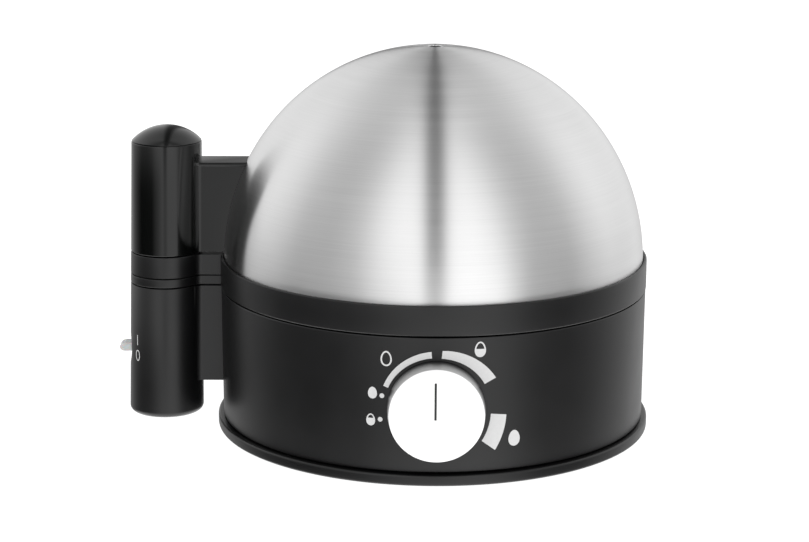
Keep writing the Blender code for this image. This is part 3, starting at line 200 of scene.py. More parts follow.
# The studio's brightness, as (place, share of STUDIO_SCALE). Upper: from the front (0) to the back (1).
# Lower: all the way round, with the front at 0.5 and the grip's side under it. The table under the object
# is brighter than either, and a dark gap runs over the top from the camera to the back.
STUDIO_SCALE = 1.6
UPPER_STUDIO = (
    (0.0, 0.95), (0.12, 1.0), (0.17, 0.92), (0.25, 0.60), (0.33, 0.44), (0.44, 0.45), (0.53, 0.68),
    (0.61, 0.80), (0.78, 0.68), (1.0, 0.56),
)
LOWER_STUDIO = (
    (0.0, 0.30), (0.12, 0.42), (0.19, 0.24), (0.26, 0.02), (0.38, 0.04), (0.44, 0.42), (0.48, 0.78),
    (0.53, 0.84), (0.60, 0.86), (0.645, 0.12), (0.72, 0.08), (0.80, 0.42), (0.90, 0.60), (1.0, 0.30),
)
TABLE_SHARE = 1.5
GAP_SHARE = 0.18

SETTINGS = {
    "egg_cooker_stage": EggCookerStage,
    "egg_cooker_dome": EggCookerDome,
    "egg_cooker_handle": EggCookerHandle,
    "egg_cooker_carrier": EggCookerCarrier,
    "egg_cooker_base": EggCookerBase,
    "egg_cooker_knob": EggCookerKnob,
}


# ---------------------------------------------------------------- materials

class Wire:
    """A shader value that Python's arithmetic carries on with Math nodes."""

    def __init__(self, paint, socket):
        self.paint = paint
        self.socket = socket

    def math(self, operation, *values):
        return self.paint.node("ShaderNodeMath", {"operation": operation}, dict(enumerate(values)))

    def __add__(self, other):
        return self.math("ADD", self, other)

    def __sub__(self, other):
        return self.math("SUBTRACT", self, other)

    def __mul__(self, other):
        return self.math("MULTIPLY", self, other)

    def __truediv__(self, other):
        return self.math("DIVIDE", self, other)

    def __pow__(self, other):
        return self.math("POWER", self, other)

    def spread(self, low_value, high_value):
        """This value, from 0 to 1, as one from low_value to high_value."""
        return self * (high_value - low_value) + low_value

    def between(self, edge_low, edge_high):
        """0 under edge_low, 1 over edge_high and smooth between them."""
        return self.paint.node(
            "ShaderNodeMapRange", {"interpolation_type": "SMOOTHSTEP"},
            {"Value": self, "From Min": edge_low, "From Max": edge_high})


class Nodes:
    """A node tree to add to."""

    def __init__(self, tree):
        self.tree = tree

    def node(self, kind, settings, values, output=0):
        """A node with its settings, then its sockets; gives one of its outputs."""
        made = self.tree.nodes.new(kind)
        for setting, value in settings.items():
            if setting == "stops":
                self.set_stops(made.color_ramp.elements, value)
            else:
                setattr(made, setting, value)
        for socket, value in values.items():
            self.join(made.inputs[socket], value)
        return Wire(self, made.outputs[output])

    def set_stops(self, elements, stops):
        """A ramp's grey levels, by place from 0 to 1."""
        while len(elements) < len(stops):
            elements.new(0.5)
        for element, (place, level) in zip(elements, stops):
            element.position = place
            element.color = (level, level, level, 1.0)

    def blend(self, factor, first, second):
        """A value that goes from the first to the second."""
        return self.node("ShaderNodeMix", {"data_type": "FLOAT"}, {0: factor, 2: first, 3: second})

    def join(self, target, value):
        if isinstance(value, Wire):
            self.tree.links.new(value.socket, target)
        else:
            target.default_value = value


class Paint(Nodes):
    """One material and its Principled shader."""

    def __init__(self, name, **constants):
        self.material = bpy.data.materials.new(name)
        self.material.use_nodes = True
        super().__init__(self.material.node_tree)
        self.shader = self.tree.nodes["Principled BSDF"]
        for socket, value in constants.items():
            self.feed(socket.replace("_", " "), value)

    def feed(self, socket, value):
        if isinstance(value, tuple) and len(value) == 3:
            value = (*value, 1.0)
        self.join(self.shader.inputs[socket], value)

    def place(self):
        """Object coordinates, in metres."""
        return self.node("ShaderNodeTexCoord", {}, {}, "Object")

    def parts(self):
        """The X, Y and Z of Object coordinates."""
        place = self.place()
        return [self.node("ShaderNodeSeparateXYZ", {}, {0: place}, axis) for axis in "XYZ"]

    def noise(self, scale, detail=2.0, vector=None, roughness=0.5):
        values = {"Scale": scale, "Detail": detail, "Roughness": roughness, "Vector": vector or self.place()}
        return self.node("ShaderNodeTexNoise", {}, values)

    def mix(self, factor, first, second):
        """A blend of two colours."""
        values = {0: factor, 6: first, 7: second}
        values = {key: (*value, 1.0) if isinstance(value, tuple) else value for key, value in values.items()}
        return self.node("ShaderNodeMix", {"data_type": "RGBA"}, values, 2)

    def bump(self, height, strength, distance):
        values = {"Height": height, "Strength": strength, "Distance": distance}
        self.feed("Normal", self.node("ShaderNodeBump", {}, values))

    def finish(self, colour_by, base, shades, gloss_by, roughness, grain, strength, distance):
        """Two shades of a colour, two roughnesses and a fine grain, each by its own pattern."""
        self.feed("Base Color", self.mix(colour_by, tone(base, shades[0]), tone(base, shades[1])))
        self.feed("Roughness", gloss_by.spread(*roughness))
        self.bump(grain, strength, distance)
        return self.material


def tone(base, factor):
    return tuple(min(1.0, part * factor) for part in base)


def moulded(name, base, roughness, grain=0.02 * MM, grain_scale=2600.0, variation=0.12, **constants):
    """Moulded plastic: an even colour with faint flow marks, a fine grain and patchy gloss."""
    paint = Paint(name, **constants)
    return paint.finish(paint.noise(22.0, 3.0), base, (1 - variation, 1 + variation), paint.noise(60.0, 4.0),
                        (roughness - 0.05, roughness + 0.05), paint.noise(grain_scale, 1.0), 0.35, grain)


def brushed_dome(settings):
    """Steel brushed round the dome's axis: fine grooves along circles of latitude."""
    paint = Paint("brushed_steel_dome", Metallic=1.0, Anisotropic=1.0, Anisotropic_Rotation=0.25)
    x, y, z = paint.parts()
    across = (x * x + y * y) ** 0.5
    rise = across.math("ARCTAN2", z - settings.centre_height, across)
    safe = across + 0.001

    def streaks(length, height, detail, roughness=0.5):
        """Noise drawn out along the circles of latitude."""
        around = {0: x / safe * length, 1: y / safe * length, 2: rise * height}
        return paint.noise(1.0, detail, paint.node("ShaderNodeCombineXYZ", {}, around), roughness)

    fine = streaks(1.6, 260.0, 3.0, 0.7)
    lines = fine * 0.65 + streaks(0.5, 34.0, 2.0) * 0.35
    return paint.finish(lines, tuple(settings.steel), (0.86, 1.12), lines,
                        (settings.roughness - 0.07, settings.roughness + 0.08), fine, 0.22, 0.02 * MM)


def knob_plastic_with_painted_shade(name, base):
    """White plastic, with painted shade on its side: grey near the face, going dark towards its back."""
    paint = Paint(name)
    depth = paint.parts()[1]
    edge = KNOB_FACE + 1.0 * MM
    # Masks of painted shade by depth: side greys the rim just behind the face, back darkens it towards the wall.
    side = depth.between(KNOB_FACE + 0.3 * MM, edge)
    back = depth.between(edge, KNOB_BACK - 1.0 * MM)
    cloud = paint.noise(40.0, 3.0)
    face = paint.mix(cloud, tone(base, 0.985), tone(base, 1.01))
    # Painted shade: the side is half the white, falling to near black at the back.
    paint.feed("Base Color", paint.mix(side, face, paint.mix(back, tone(base, 0.50), tone(base, 0.02))))
    paint.feed("Roughness", cloud.spread(0.26, 0.36))
    paint.bump(paint.noise(2600.0, 1.0), 0.2, 0.01 * MM)
    return paint.material


def plain_metal(name, base, roughness, metallic=1.0):
    """Drawn or rolled metal with faint scratches and patches."""
    paint = Paint(name, Metallic=metallic)
    return paint.finish(paint.noise(90.0, 4.0), base, (0.85, 1.1), paint.noise(240.0, 3.0),
                        (roughness - 0.08, roughness + 0.1), paint.noise(1500.0, 2.0), 0.2, 0.02 * MM)


def milky_plastic(name, base):
    """Translucent white plastic."""
    paint = Paint(name, Subsurface_Weight=0.35, Subsurface_Scale=0.003)
    cloud = paint.noise(150.0, 2.0)
    return paint.finish(cloud, base, (0.94, 1.04), cloud, (0.18, 0.30), paint.noise(900.0, 1.0), 0.1, 0.02 * MM)


def printed_ink(name, base):
    """Pad-printed ink with a faintly uneven cover."""
    paint = Paint(name)
    cover = paint.noise(900.0, 3.0)
    return paint.finish(cover, base, (0.93, 1.05), cover, (0.38, 0.52), cover, 0.1, 0.01 * MM)


def woven_sleeve(name, base):
    """A braided sleeve round a lead."""
    paint = Paint(name)
    weave = paint.node("ShaderNodeTexVoronoi", {}, {"Scale": 1600.0, "Vector": paint.place()})
    return paint.finish(weave, base, (1.1, 0.7), weave, (0.5, 0.75), weave, 0.4, 0.05 * MM)


def make_materials(scene):
    """Every finish, by name."""
    satin = tuple(scene.egg_cooker_base.satin_black)
    gloss = tuple(scene.egg_cooker_handle.gloss_black)
    return {
        "satin": moulded("satin_black_plastic", satin, 0.36, Specular_IOR_Level=0.48),
        "gloss": moulded("gloss_black_plastic", gloss, 0.13, grain=0.004 * MM, grain_scale=500.0,
                         Specular_IOR_Level=0.48),
        "dome": brushed_dome(scene.egg_cooker_dome),
        "knob": knob_plastic_with_painted_shade("knob_white_plastic", tuple(scene.egg_cooker_knob.white)),
        "groove": moulded("groove_black_ink", (0.008, 0.008, 0.008), 0.45),
        "lever": milky_plastic("milky_white_plastic", (0.42, 0.43, 0.43)),
        "print": printed_ink("light_grey_ink", tuple(scene.egg_cooker_base.print_grey)),
        "rubber": moulded("black_rubber", (0.02, 0.02, 0.02), 0.75, grain=0.05 * MM, grain_scale=1800.0),
        "silicone": moulded("red_silicone", (0.40, 0.06, 0.04), 0.55),
        "pan": plain_metal("pan_coating", (0.10, 0.10, 0.105), 0.32, 0.55),
        "steel": plain_metal("plated_steel", (0.55, 0.55, 0.56), 0.33),
        "cast": plain_metal("cast_aluminium", (0.66, 0.66, 0.68), 0.50),
        "board": moulded("board_lacquer", (0.02, 0.15, 0.06), 0.35, variation=0.25),
        "grey": moulded("grey_moulded_plastic", (0.30, 0.30, 0.31), 0.45),
        "sleeve": woven_sleeve("lead_sleeve", (0.55, 0.50, 0.40)),
    }


def material(name):
    """A finish by its short name, made on first use."""
    if not material.made:
        material.made.update(make_materials(bpy.context.scene))
    return material.made[name]


material.made = {}


# ---------------------------------------------------------------- modelling

def alone(piece=None):
    """Object mode, with only this piece selected and active."""
    if bpy.context.mode != "OBJECT":
        bpy.ops.object.mode_set(mode="OBJECT")
    bpy.ops.object.select_all(action="DESELECT")
    if piece:
        piece.select_set(True)
        bpy.context.view_layer.objects.active = piece


def added(name, adder, **settings):
    """A primitive, added with nothing else selected."""
    alone()
    adder(**settings)
    piece = bpy.context.object
    piece.name = piece.data.name = name
    return piece


def edited(piece=None):
    """Edit mode, on this piece alone or on the active one, with all of it selected."""
    if piece:
        alone(piece)
    bpy.ops.object.mode_set(mode="EDIT")
    bpy.ops.mesh.select_all(action="SELECT")


def tidied(reach=MERGE, holes=0):
    """In edit mode: doubles merged, holes of up to so many sides filled, and faces turned outwards."""
    bpy.ops.mesh.select_all(action="SELECT")
    bpy.ops.mesh.remove_doubles(threshold=reach)
    if holes:
        bpy.ops.mesh.fill_holes(sides=holes)
    bpy.ops.mesh.normals_make_consistent(inside=False)
    bpy.ops.object.mode_set(mode="OBJECT")


def settled(piece):
    """A piece at the origin, with its place, turn and size in its mesh."""
    alone(piece)
    bpy.ops.object.transform_apply(location=True, rotation=True, scale=True)
    return piece


def chain(name, points):
    """Edges drawn through points by extruding one vertex. Stays in edit mode."""
    piece = added(name, bpy.ops.mesh.primitive_plane_add, size=10 * MERGE, location=points[0])
    bpy.ops.object.mode_set(mode="EDIT")
    bpy.ops.mesh.merge(type="CENTER")
    for start, end in zip(points, points[1:]):
        step = Vector(end) - Vector(start)
        bpy.ops.mesh.extrude_region_move(TRANSFORM_OT_translate={"value": step})
    return piece


def spun(name, points, steps, centre, axis):
    """A line through (x, y, z) points, turned round an axis."""
    piece = chain(name, points)
    bpy.ops.mesh.select_all(action="SELECT")
    bpy.ops.mesh.spin(steps=steps, angle=2 * math.pi, center=centre, axis=axis)
    tidied()
    return piece


def turned(name, outline, steps=FINE, axis_x=0.0):
    """A shape turned about a vertical axis from (radius, height) points.

    An outline that starts and ends on the axis closes there; any other is closed back to its start.
    """
    on_axis = outline[0][0] < MERGE and outline[-1][0] < MERGE
    points = [(axis_x + radius, 0, height) for radius, height in outline]
    return spun(name, points if on_axis else points + points[:1], steps, (axis_x, 0, 0), UP)


def prism(name, outline, along, width):
    """A face through (x, y, z) points, extruded by width along a direction."""
    piece = chain(name, outline)
    bpy.ops.mesh.select_all(action="SELECT")
    bpy.ops.mesh.edge_face_add()
    bpy.ops.mesh.extrude_region_move(TRANSFORM_OT_translate={"value": Vector(along) * width})
    tidied()
    return piece


def block(name, lowest, highest, edge=0.0):
    """A box between two corners, with its edges rounded if asked."""
    centre = (Vector(lowest) + Vector(highest)) / 2
    piece = added(name, bpy.ops.mesh.primitive_cube_add, size=1.0, location=centre)
    piece.scale = Vector(highest) - Vector(lowest)
    bpy.ops.object.transform_apply(location=False, rotation=False, scale=True)
    if edge:
        rounded(piece, edge)
    return piece


def rod(name, place, direction, radius, span, steps=SMALL):
    """A cylinder from a place along a direction, used as a tool or to build on.

    It is turned a little about its own axis, so that its edges don't meet those of the turned pieces.
    """
    direction = Vector(direction).normalized()
    centre = Vector(place) + direction * span / 2
    turn = (direction.to_track_quat("Z", "Y") @ Quaternion(UP, TOOL_TURN)).to_euler()
    return added(name, bpy.ops.mesh.primitive_cylinder_add, vertices=steps, radius=radius, depth=span,
                 location=centre, rotation=turn)


def applied(piece, kind, **settings):
    """A modifier with its settings, applied."""
    alone(piece)
    step = piece.modifiers.new(kind.lower(), kind)
    for setting, value in settings.items():
        setattr(step, setting, value)
    bpy.ops.object.modifier_apply(modifier=step.name)
    return piece


def rounded(piece, width, angle=30):
    """Edges sharper than an angle, rounded."""
    return applied(piece, "BEVEL", width=width, segments=3, limit_method="ANGLE",
                   angle_limit=math.radians(angle), harden_normals=False)


def boolean(piece, operation, tools):
    for tool in tools:
        applied(piece, "BOOLEAN", object=tool, operation=operation, solver="EXACT")
        bpy.data.objects.remove(tool)
    return piece


def cut(piece, *tools):
    return boolean(piece, "DIFFERENCE", tools)


def joined(piece, *tools):
    return boolean(piece, "UNION", tools)


def dressed(piece, finish, body, slot, *stands_for, angle=30):
    """A finished piece: settled, slits that Booleans leave closed, shaded, painted and tied to the frame."""
    edited(settled(piece))
    tidied(2 * MERGE, 12)
    bpy.ops.object.shade_smooth_by_angle(angle=math.radians(angle))
    piece.data.materials.clear()
    piece.data.materials.append(material(finish))
    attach(piece, body)
    if stands_for:
        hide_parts(*stands_for)
    return piece


def arc(centre, radius, start, end, steps):
    """Points of an arc, angles in degrees."""
    angles = [math.radians(start + (end - start) * step / steps) for step in range(steps + 1)]
    return [(centre[0] + radius * math.cos(angle), centre[1] + radius * math.sin(angle)) for angle in angles]


def softened(outline, radius, steps=4, skip=()):
    """A closed outline of points with each corner rounded by up to a radius, apart from those skipped."""
    done = []
    count = len(outline)
    for number, corner in enumerate(outline):
        corner = Vector(corner)
        before = Vector(outline[number - 1])
        after = Vector(outline[(number + 1) % count])
        if number in skip:
            done.append(tuple(corner))
            continue
        back, ahead = (before - corner), (after - corner)
        reach = min(radius, 0.45 * back.length, 0.45 * ahead.length)
        start, end = corner + back.normalized() * reach, corner + ahead.normalized() * reach
        for step in range(steps + 1):
            t = step / steps
            done.append(tuple((1 - t) ** 2 * start + 2 * t * (1 - t) * corner + t**2 * end))
    return done


def on_circle(radius, degrees):
    return radius * math.cos(math.radians(degrees)), radius * math.sin(math.radians(degrees))


def column_radius(height):
    """The grip column's outer radius at a height."""
    handle = bpy.context.scene.egg_cooker_handle
    along = (height - COLUMN_FOOT) / (GRIP_TOP - COLUMN_FOOT)
    return handle.foot_radius + (handle.top_radius - handle.foot_radius) * along


def column_centre(height):
    """Where the grip column's leaning axis is along X at a height."""
    return COLUMN_X + COLUMN_LEAN * (height - COLUMN_FOOT)


def leaning(piece):
    """A shape made upright round the column's foot, moved level by level onto its leaning axis."""
    settled(piece)
    lean = Matrix.Identity(4)
    lean[0][2], lean[0][3] = COLUMN_LEAN, -COLUMN_LEAN * COLUMN_FOOT
    piece.data.transform(lean)
    return piece


def column_ring(name, foot, top, edge=0.35 * MM, foot_edge=None):
    """A solid slice of the grip column with softened edges."""
    outline = [(0, foot), (column_radius(foot), foot), (column_radius(top), top), (0, top)]
    soft = softened(outline, edge, skip=(0, 3))
    if foot_edge:
        corner = (outline[1][0] - foot_edge, foot + foot_edge)
        soft = [(0, foot), *arc(corner, foot_edge, -90, 0, 8), *soft[7:]]
    return leaning(turned(name, soft, ROUND, COLUMN_X))


def column_bore(name, foot, radius, span):
    """A tool that hollows the grip column."""
    return leaning(rod(name, (COLUMN_X, 0, foot), UP, radius, span, ROUND))


def web_plan(half, reach, fillet, height):
    """The plan of a web from the column's axis to a reach, flared where it leaves the column."""
    radius = column_radius(height) - 0.1 * MM
    centre_y = half + fillet
    centre_x = math.sqrt((radius + fillet) ** 2 - centre_y**2)
    touch = math.degrees(math.atan2(centre_y, centre_x))
    curve = arc((centre_x, centre_y), fillet, 180 + touch, 270, 8)
    side = [(COLUMN_X + x, y) for x, y in curve] + [(reach, half)]
    mirrored = [(x, -y) for x, y in reversed(side)]
    return [(COLUMN_X, side[0][1]), *side, *mirrored, (COLUMN_X, -side[0][1])]


def web(name, half, foot, top, reach, fillet, edge=0.0):
    """An upright web between the column and the round body."""
    middle = (foot + top) / 2
    plan = web_plan(half, reach - column_centre(middle) + COLUMN_X, fillet, middle)
    piece = leaning(prism(name, [(x, y, foot) for x, y in plan], UP, top - foot))
    if edge:
        rounded(piece, edge, 60)
    return piece


def dome_points(offset, steps, vent):
    """Points of the dome's profile from its equator to its steam hole."""
    dome = bpy.context.scene.egg_cooker_dome
    across = DOME_R + offset
    rise = dome_rise() + offset
    end = math.acos(vent / across) if vent else math.pi / 2
    return [(across * math.cos(end * step / steps), dome.centre_height + rise * math.sin(end * step / steps))
            for step in range(steps + 1)]


def dome_rise():
    """How far the dome rises over its centre, from the frame's height at the steam hole."""
    dome = bpy.context.scene.egg_cooker_dome
    hole = 3.2 * MM
    return (DOME_TOP - dome.centre_height) / math.sqrt(1 - (hole / DOME_R) ** 2)


def dome_solid(name, offset):
    """A solid of the dome's shape and a margin round it, for fitting what meets it."""
    curve = dome_points(offset, 64, 0)
    foot = DOME_FOOT - PAST
    return turned(name, [(0, foot), (DOME_R + offset, foot), *curve[:-1], (0, curve[-1][1])])


def screw_axes():
    """Seat and outward direction of the two handle screws."""
    dome = bpy.context.scene.egg_cooker_dome
    axes = []
    for height in HANDLE_SCREW_HEIGHTS:
        share_up = (height - dome.centre_height) / dome_rise()
        radius = DOME_R * math.sqrt(1 - share_up**2)
        outward = Vector((-radius / DOME_R**2, 0, (height - dome.centre_height) / dome_rise() ** 2)).normalized()
        axes.append((Vector((-radius, 0, height)), outward))
    return axes


def at_screws(work, piece, name, radius, behind, span):
    """A rod on each handle screw's axis, joined to the piece or cut from it."""
    for seat, outward in screw_axes():
        work(piece, rod(name, seat - outward * behind, outward, radius, span, 24))


# ---------------------------------------------------------------- pieces

class EGGCOOKER_OT_stage(bpy.types.Operator):
    """Set up the floor, the surroundings, the softboxes and the camera"""
    bl_idname = "scene.egg_cooker_stage"
    bl_label = "Stage"

    def execute(self, context):
        settings = context.scene.egg_cooker_stage
        self.camera(context, settings)
        self.world(context, settings)
        self.floor(settings)
        self.lights(settings)
        context.scene.view_settings.view_transform = "Standard"
        return {"FINISHED"}

    def camera(self, context, settings):
        alone()
        turn = Matrix(((0.99989, -0.00761, 0.01243), (0.01389, 0.23965, -0.97076), (0.00441, 0.97083, 0.23973)))
        spin = Matrix.Rotation(math.radians(-1.0), 3, "Z")
        place = spin @ Vector((0.0, -0.9370, 0.2947))
        bpy.ops.object.camera_add(location=place, rotation=(spin @ turn).to_euler())
        camera = context.object
        camera.name = "camera"
        camera.data.lens = settings.lens
        camera.data.sensor_width = 36.0
        context.scene.camera = camera

    def world(self, context, settings):
        """A pale studio: two tall softboxes in front with a narrow gap, paler sides, and darker low down."""
        world = bpy.data.worlds.new("pale_studio")
        context.scene.world = world
        world.use_nodes = True
        nodes = Nodes(world.node_tree)
        way = nodes.node("ShaderNodeTexCoord", {}, {}, "Generated")
        x, y, z = (nodes.node("ShaderNodeSeparateXYZ", {}, {0: way}, axis) for axis in "XYZ")
        aside = x.math("ARCTAN2", x, y * -1.0) / math.pi
        upper = nodes.node("ShaderNodeValToRGB", {"stops": UPPER_STUDIO}, {0: aside.math("ABSOLUTE", aside)})
        lower = nodes.node("ShaderNodeValToRGB", {"stops": LOWER_STUDIO}, {0: aside * 0.5 + 0.5})
        gap = x.math("ABSOLUTE", x).between(0.03, 0.15).spread(GAP_SHARE, 1.0)
        top = z.between(0.45, 0.95).spread(1.0, 0.80)
        studio = nodes.blend(z.between(-0.17, 0.06), lower * gap.spread(0.6, 1.0), upper * top * gap)
        studio = nodes.blend(z.between(-0.70, -0.44), TABLE_SHARE, studio)
        seen = nodes.node("ShaderNodeLightPath", {}, {}, "Is Camera Ray")
        level = nodes.blend(seen, studio * (STUDIO_SCALE * settings.world_strength), 1.0)
        background = world.node_tree.nodes["Background"]
        background.inputs["Color"].default_value = (1, 1, 1, 1)
        nodes.join(background.inputs["Strength"], level)

    def floor(self, settings):
        floor = added("floor", bpy.ops.mesh.primitive_plane_add, size=8.0, location=(0, 0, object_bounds()[0][2]))
        base = (*settings.floor_colour, 1.0)
        paint = Paint("floor_paint", Roughness=0.8, Base_Color=base, Emission_Color=(1, 1, 1, 1),
                      Emission_Strength=1.0)
        floor.data.materials.append(paint.material)
        floor.visible_glossy = False
        floor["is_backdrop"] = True

    def lights(self, settings):
        """A broad soft light at the front that only lights matt surfaces."""
        place = Vector((0.1, -1.9, 0.7))
        aim = (Vector((0, 0, 0.06)) - place).to_track_quat("-Z", "Y").to_euler()
        alone()
        bpy.ops.object.light_add(type="AREA", location=place, rotation=aim)
        light = bpy.context.object
        light.name = "front_softbox"
        light.data.energy = settings.front_power
        light.data.shape = "RECTANGLE"
        light.data.size = light.data.size_y = 1.0
        light.visible_camera = light.visible_glossy = False


class EGGCOOKER_OT_dome(bpy.types.Operator):
    """Turn the steel dome, with its steam hole and the holes of the handle's screws"""
    bl_idname = "mesh.egg_cooker_dome"
    bl_label = "Dome"

    def execute(self, context):
        settings = context.scene.egg_cooker_dome
        outer = dome_points(0, 72, settings.vent_radius)
        inner = dome_points(-settings.sheet, 72, settings.vent_radius)
        lip_outer, lip_inner = outer.pop(), inner.pop()
        middle = (lip_outer[0] + lip_inner[0]) / 2, (lip_outer[1] + lip_inner[1]) / 2
        rim = arc(middle, settings.sheet / 2, 90, 270, 6)
        outline = [(DOME_R, DOME_FOOT), *outer, *rim[1:-1], *inner[::-1], (DOME_R - settings.sheet, DOME_FOOT)]
        dome = turned("dome", outline)
        at_screws(cut, dome, "screw_hole", 1.9 * MM, 3 * MM, 6 * MM)
        dressed(dome, "dome", "lid", "brushed_steel", "lid_dome", angle=40)
        return {"FINISHED"}


class EGGCOOKER_OT_handle(bpy.types.Operator):
    """Model the glossy grip with its web, its flange and its domed cap"""
    bl_idname = "mesh.egg_cooker_handle"
    bl_label = "Handle"

    def execute(self, context):
        settings = context.scene.egg_cooker_handle
        grip = column_ring("grip", GRIP_FOOT, GRIP_TOP, 0.4 * MM)
        reach = -DOME_R / 2
        flange_foot = settings.flange_top - 1.5 * MM
        joined(grip, web("grip_web", settings.web_half, GRIP_FOOT + 0.5 * MM, flange_foot + INTO, reach,
                         settings.fillet))
        joined(grip, web("grip_flange", settings.flange_half, flange_foot, settings.flange_top, reach,
                         settings.fillet, 0.35 * MM))
        wall = settings.wall
        pocket = web("web_pocket", settings.web_half - wall, GRIP_FOOT + 2.5 * MM, flange_foot - wall,
                     reach + PAST, 0.01 * MM)
        cut(pocket, column_bore("pocket_end", 0, column_radius(GRIP_FOOT) + wall, 0.2))
        cut(grip, pocket)
        at_screws(joined, grip, "screw_boss", 4.6 * MM, PAST, 12 * MM)
        cut(grip, dome_solid("dome_fit", 0.04 * MM))
        bore = column_radius(GRIP_TOP) - wall
        cut(grip, column_bore("grip_bore", GRIP_FOOT + 2.2 * MM, bore, GRIP_TOP - GRIP_FOOT))
        at_screws(cut, grip, "screw_pilot", 1.6 * MM, PAST, 10 * MM)
        dressed(grip, "gloss", "lid", "gloss_black_plastic", "lid_handle", angle=35)
        self.cap(settings)
        return {"FINISHED"}

    def cap(self, settings):
        foot, spigot_foot = GRIP_TOP + 0.15 * MM, low("handle_cap", "z")
        radius = settings.top_radius
        rise = CAP_TOP - foot
        sphere = (radius**2 + rise**2) / (2 * rise)
        centre = (0, CAP_TOP - sphere)
        start = math.degrees(math.asin((foot - centre[1]) / sphere))
        spigot = radius - settings.wall - GAP
        inside = sphere - 1.8 * MM
        inner_start = math.degrees(math.acos((spigot - 1.8 * MM) / inside))
        cap = leaning(turned("cap", [
            (0, CAP_TOP - 1.8 * MM), *arc(centre, inside, 90, inner_start, 16)[1:],
            (spigot - 1.8 * MM, spigot_foot), (spigot, spigot_foot), (spigot, foot),
            (radius - 0.25 * MM, foot), *arc(centre, sphere, start + 1.0, 90, 32)[:-1], (0, CAP_TOP),
        ], ROUND, COLUMN_X))
        dressed(cap, "gloss", "lid", "gloss_black_plastic", "handle_cap", angle=40)


class EGGCOOKER_OT_carrier(bpy.types.Operator):
    """Model the egg carrier: its collar, its plate with the egg holes, and its band of the grip column"""
    bl_idname = "mesh.egg_cooker_carrier"
    bl_label = "Egg carrier"

    def execute(self, context):
        settings = context.scene.egg_cooker_carrier
        handle = context.scene.egg_cooker_handle
        plate_top = DOME_FOOT - GAP
        plate_foot = plate_top - 2.0 * MM
        bore = COLLAR_R - settings.collar_wall
        outline = [
            (0, plate_foot), (bore, plate_foot), (bore, COLLAR_FOOT), (COLLAR_R, COLLAR_FOOT),
            (COLLAR_R, COLLAR_TOP), (bore, COLLAR_TOP), (bore, plate_top), (0, plate_top),
        ]
        carrier = turned("carrier", softened(outline, 0.7 * MM, skip=(0, 1, 2, 6, 7)))
        eggs = [(0, 0)] + [on_circle(settings.hole_circle, 360 * n / settings.outer_eggs)
                           for n in range(settings.outer_eggs)]
        rim_foot, rim_wall, deep = plate_foot - 4.0 * MM, 1.6 * MM, 12.0 * MM
        steam_circle, steam_radius = 29.0 * MM, 4.5 * MM
        for x, y in eggs:
            joined(carrier, rod("egg_rim", (x, y, rim_foot), UP, settings.hole_radius + rim_wall,
                                plate_top - rim_foot - INTO, 64))
        for x, y in eggs:
            cut(carrier, rod("egg_hole", (x, y, rim_foot - PAST), UP, settings.hole_radius, deep, 64))
        for number in range(settings.outer_eggs):
            x, y = on_circle(steam_circle, 360 * (number + 0.5) / settings.outer_eggs)
            cut(carrier, rod("steam_hole", (x, y, rim_foot - PAST), UP, steam_radius, deep, 32))
        foot = DECK_TOP + 0.5 * MM
        joined(carrier, web("carrier_neck", handle.web_half, foot - INTO, TAB_TOP - GAP, -bore - INTO / 2,
                            handle.fillet))
        joined(carrier, column_ring("carrier_tab", foot - INTO, TAB_TOP))
        neck, beside = handle.web_half + 0.5 * MM, -COLLAR_R - 0.5 * MM
        wide = 2 * handle.foot_radius
        notch = [(-bore + PAST, -neck), (-bore + PAST, neck), (beside, neck), (beside, wide),
                 (COLUMN_X - wide, wide), (COLUMN_X - wide, -wide), (beside, -wide), (beside, -neck)]
        cut(carrier, prism("deck_notch", [(x, y, COLLAR_FOOT - PAST) for x, y in notch], UP,
                           foot - COLLAR_FOOT + PAST))
        cut(carrier, column_bore("tab_pocket", foot - PAST, column_radius(TAB_TOP) - handle.wall, TAB_TOP - foot))
        dressed(carrier, "satin", "carrier", "satin_black_plastic", "egg_carrier", angle=35)
        return {"FINISHED"}


class EGGCOOKER_OT_deck(bpy.types.Operator):
    """Turn the deck that covers the base, with its band of the grip column"""
    bl_idname = "mesh.egg_cooker_deck"
    bl_label = "Deck"

    def execute(self, context):
        handle = context.scene.egg_cooker_handle
        inner = SHELL_R - context.scene.egg_cooker_base.wall - 0.5 * MM
        skirt, opening, skin = 53.0 * MM, 77.5 * MM, 1.9 * MM
        ledge, radius = DECK_TOP - 2.0 * MM, high("deck", "x")
        outline = [
            (opening, ledge - skin), (opening, ledge), (DECK_LEDGE_RADIUS, ledge), (DECK_LEDGE_RADIUS, DECK_TOP),
            (radius, DECK_TOP), (radius, DECK_FOOT), (inner, DECK_FOOT), (inner, skirt),
            (inner - skin, skirt), (inner - skin, ledge - skin),
        ]
        deck = turned("deck_cover", softened(outline, 0.5 * MM))
        joined(deck, web("deck_neck", handle.web_half, DECK_FOOT, DECK_TOP - 0.05 * MM,
                         -DECK_LEDGE_RADIUS - INTO, handle.fillet))
        joined(deck, column_ring("deck_tab", DECK_FOOT, DECK_TOP))
        dressed(deck, "satin", "base", "satin_black_plastic", "deck", angle=35)
        return {"FINISHED"}


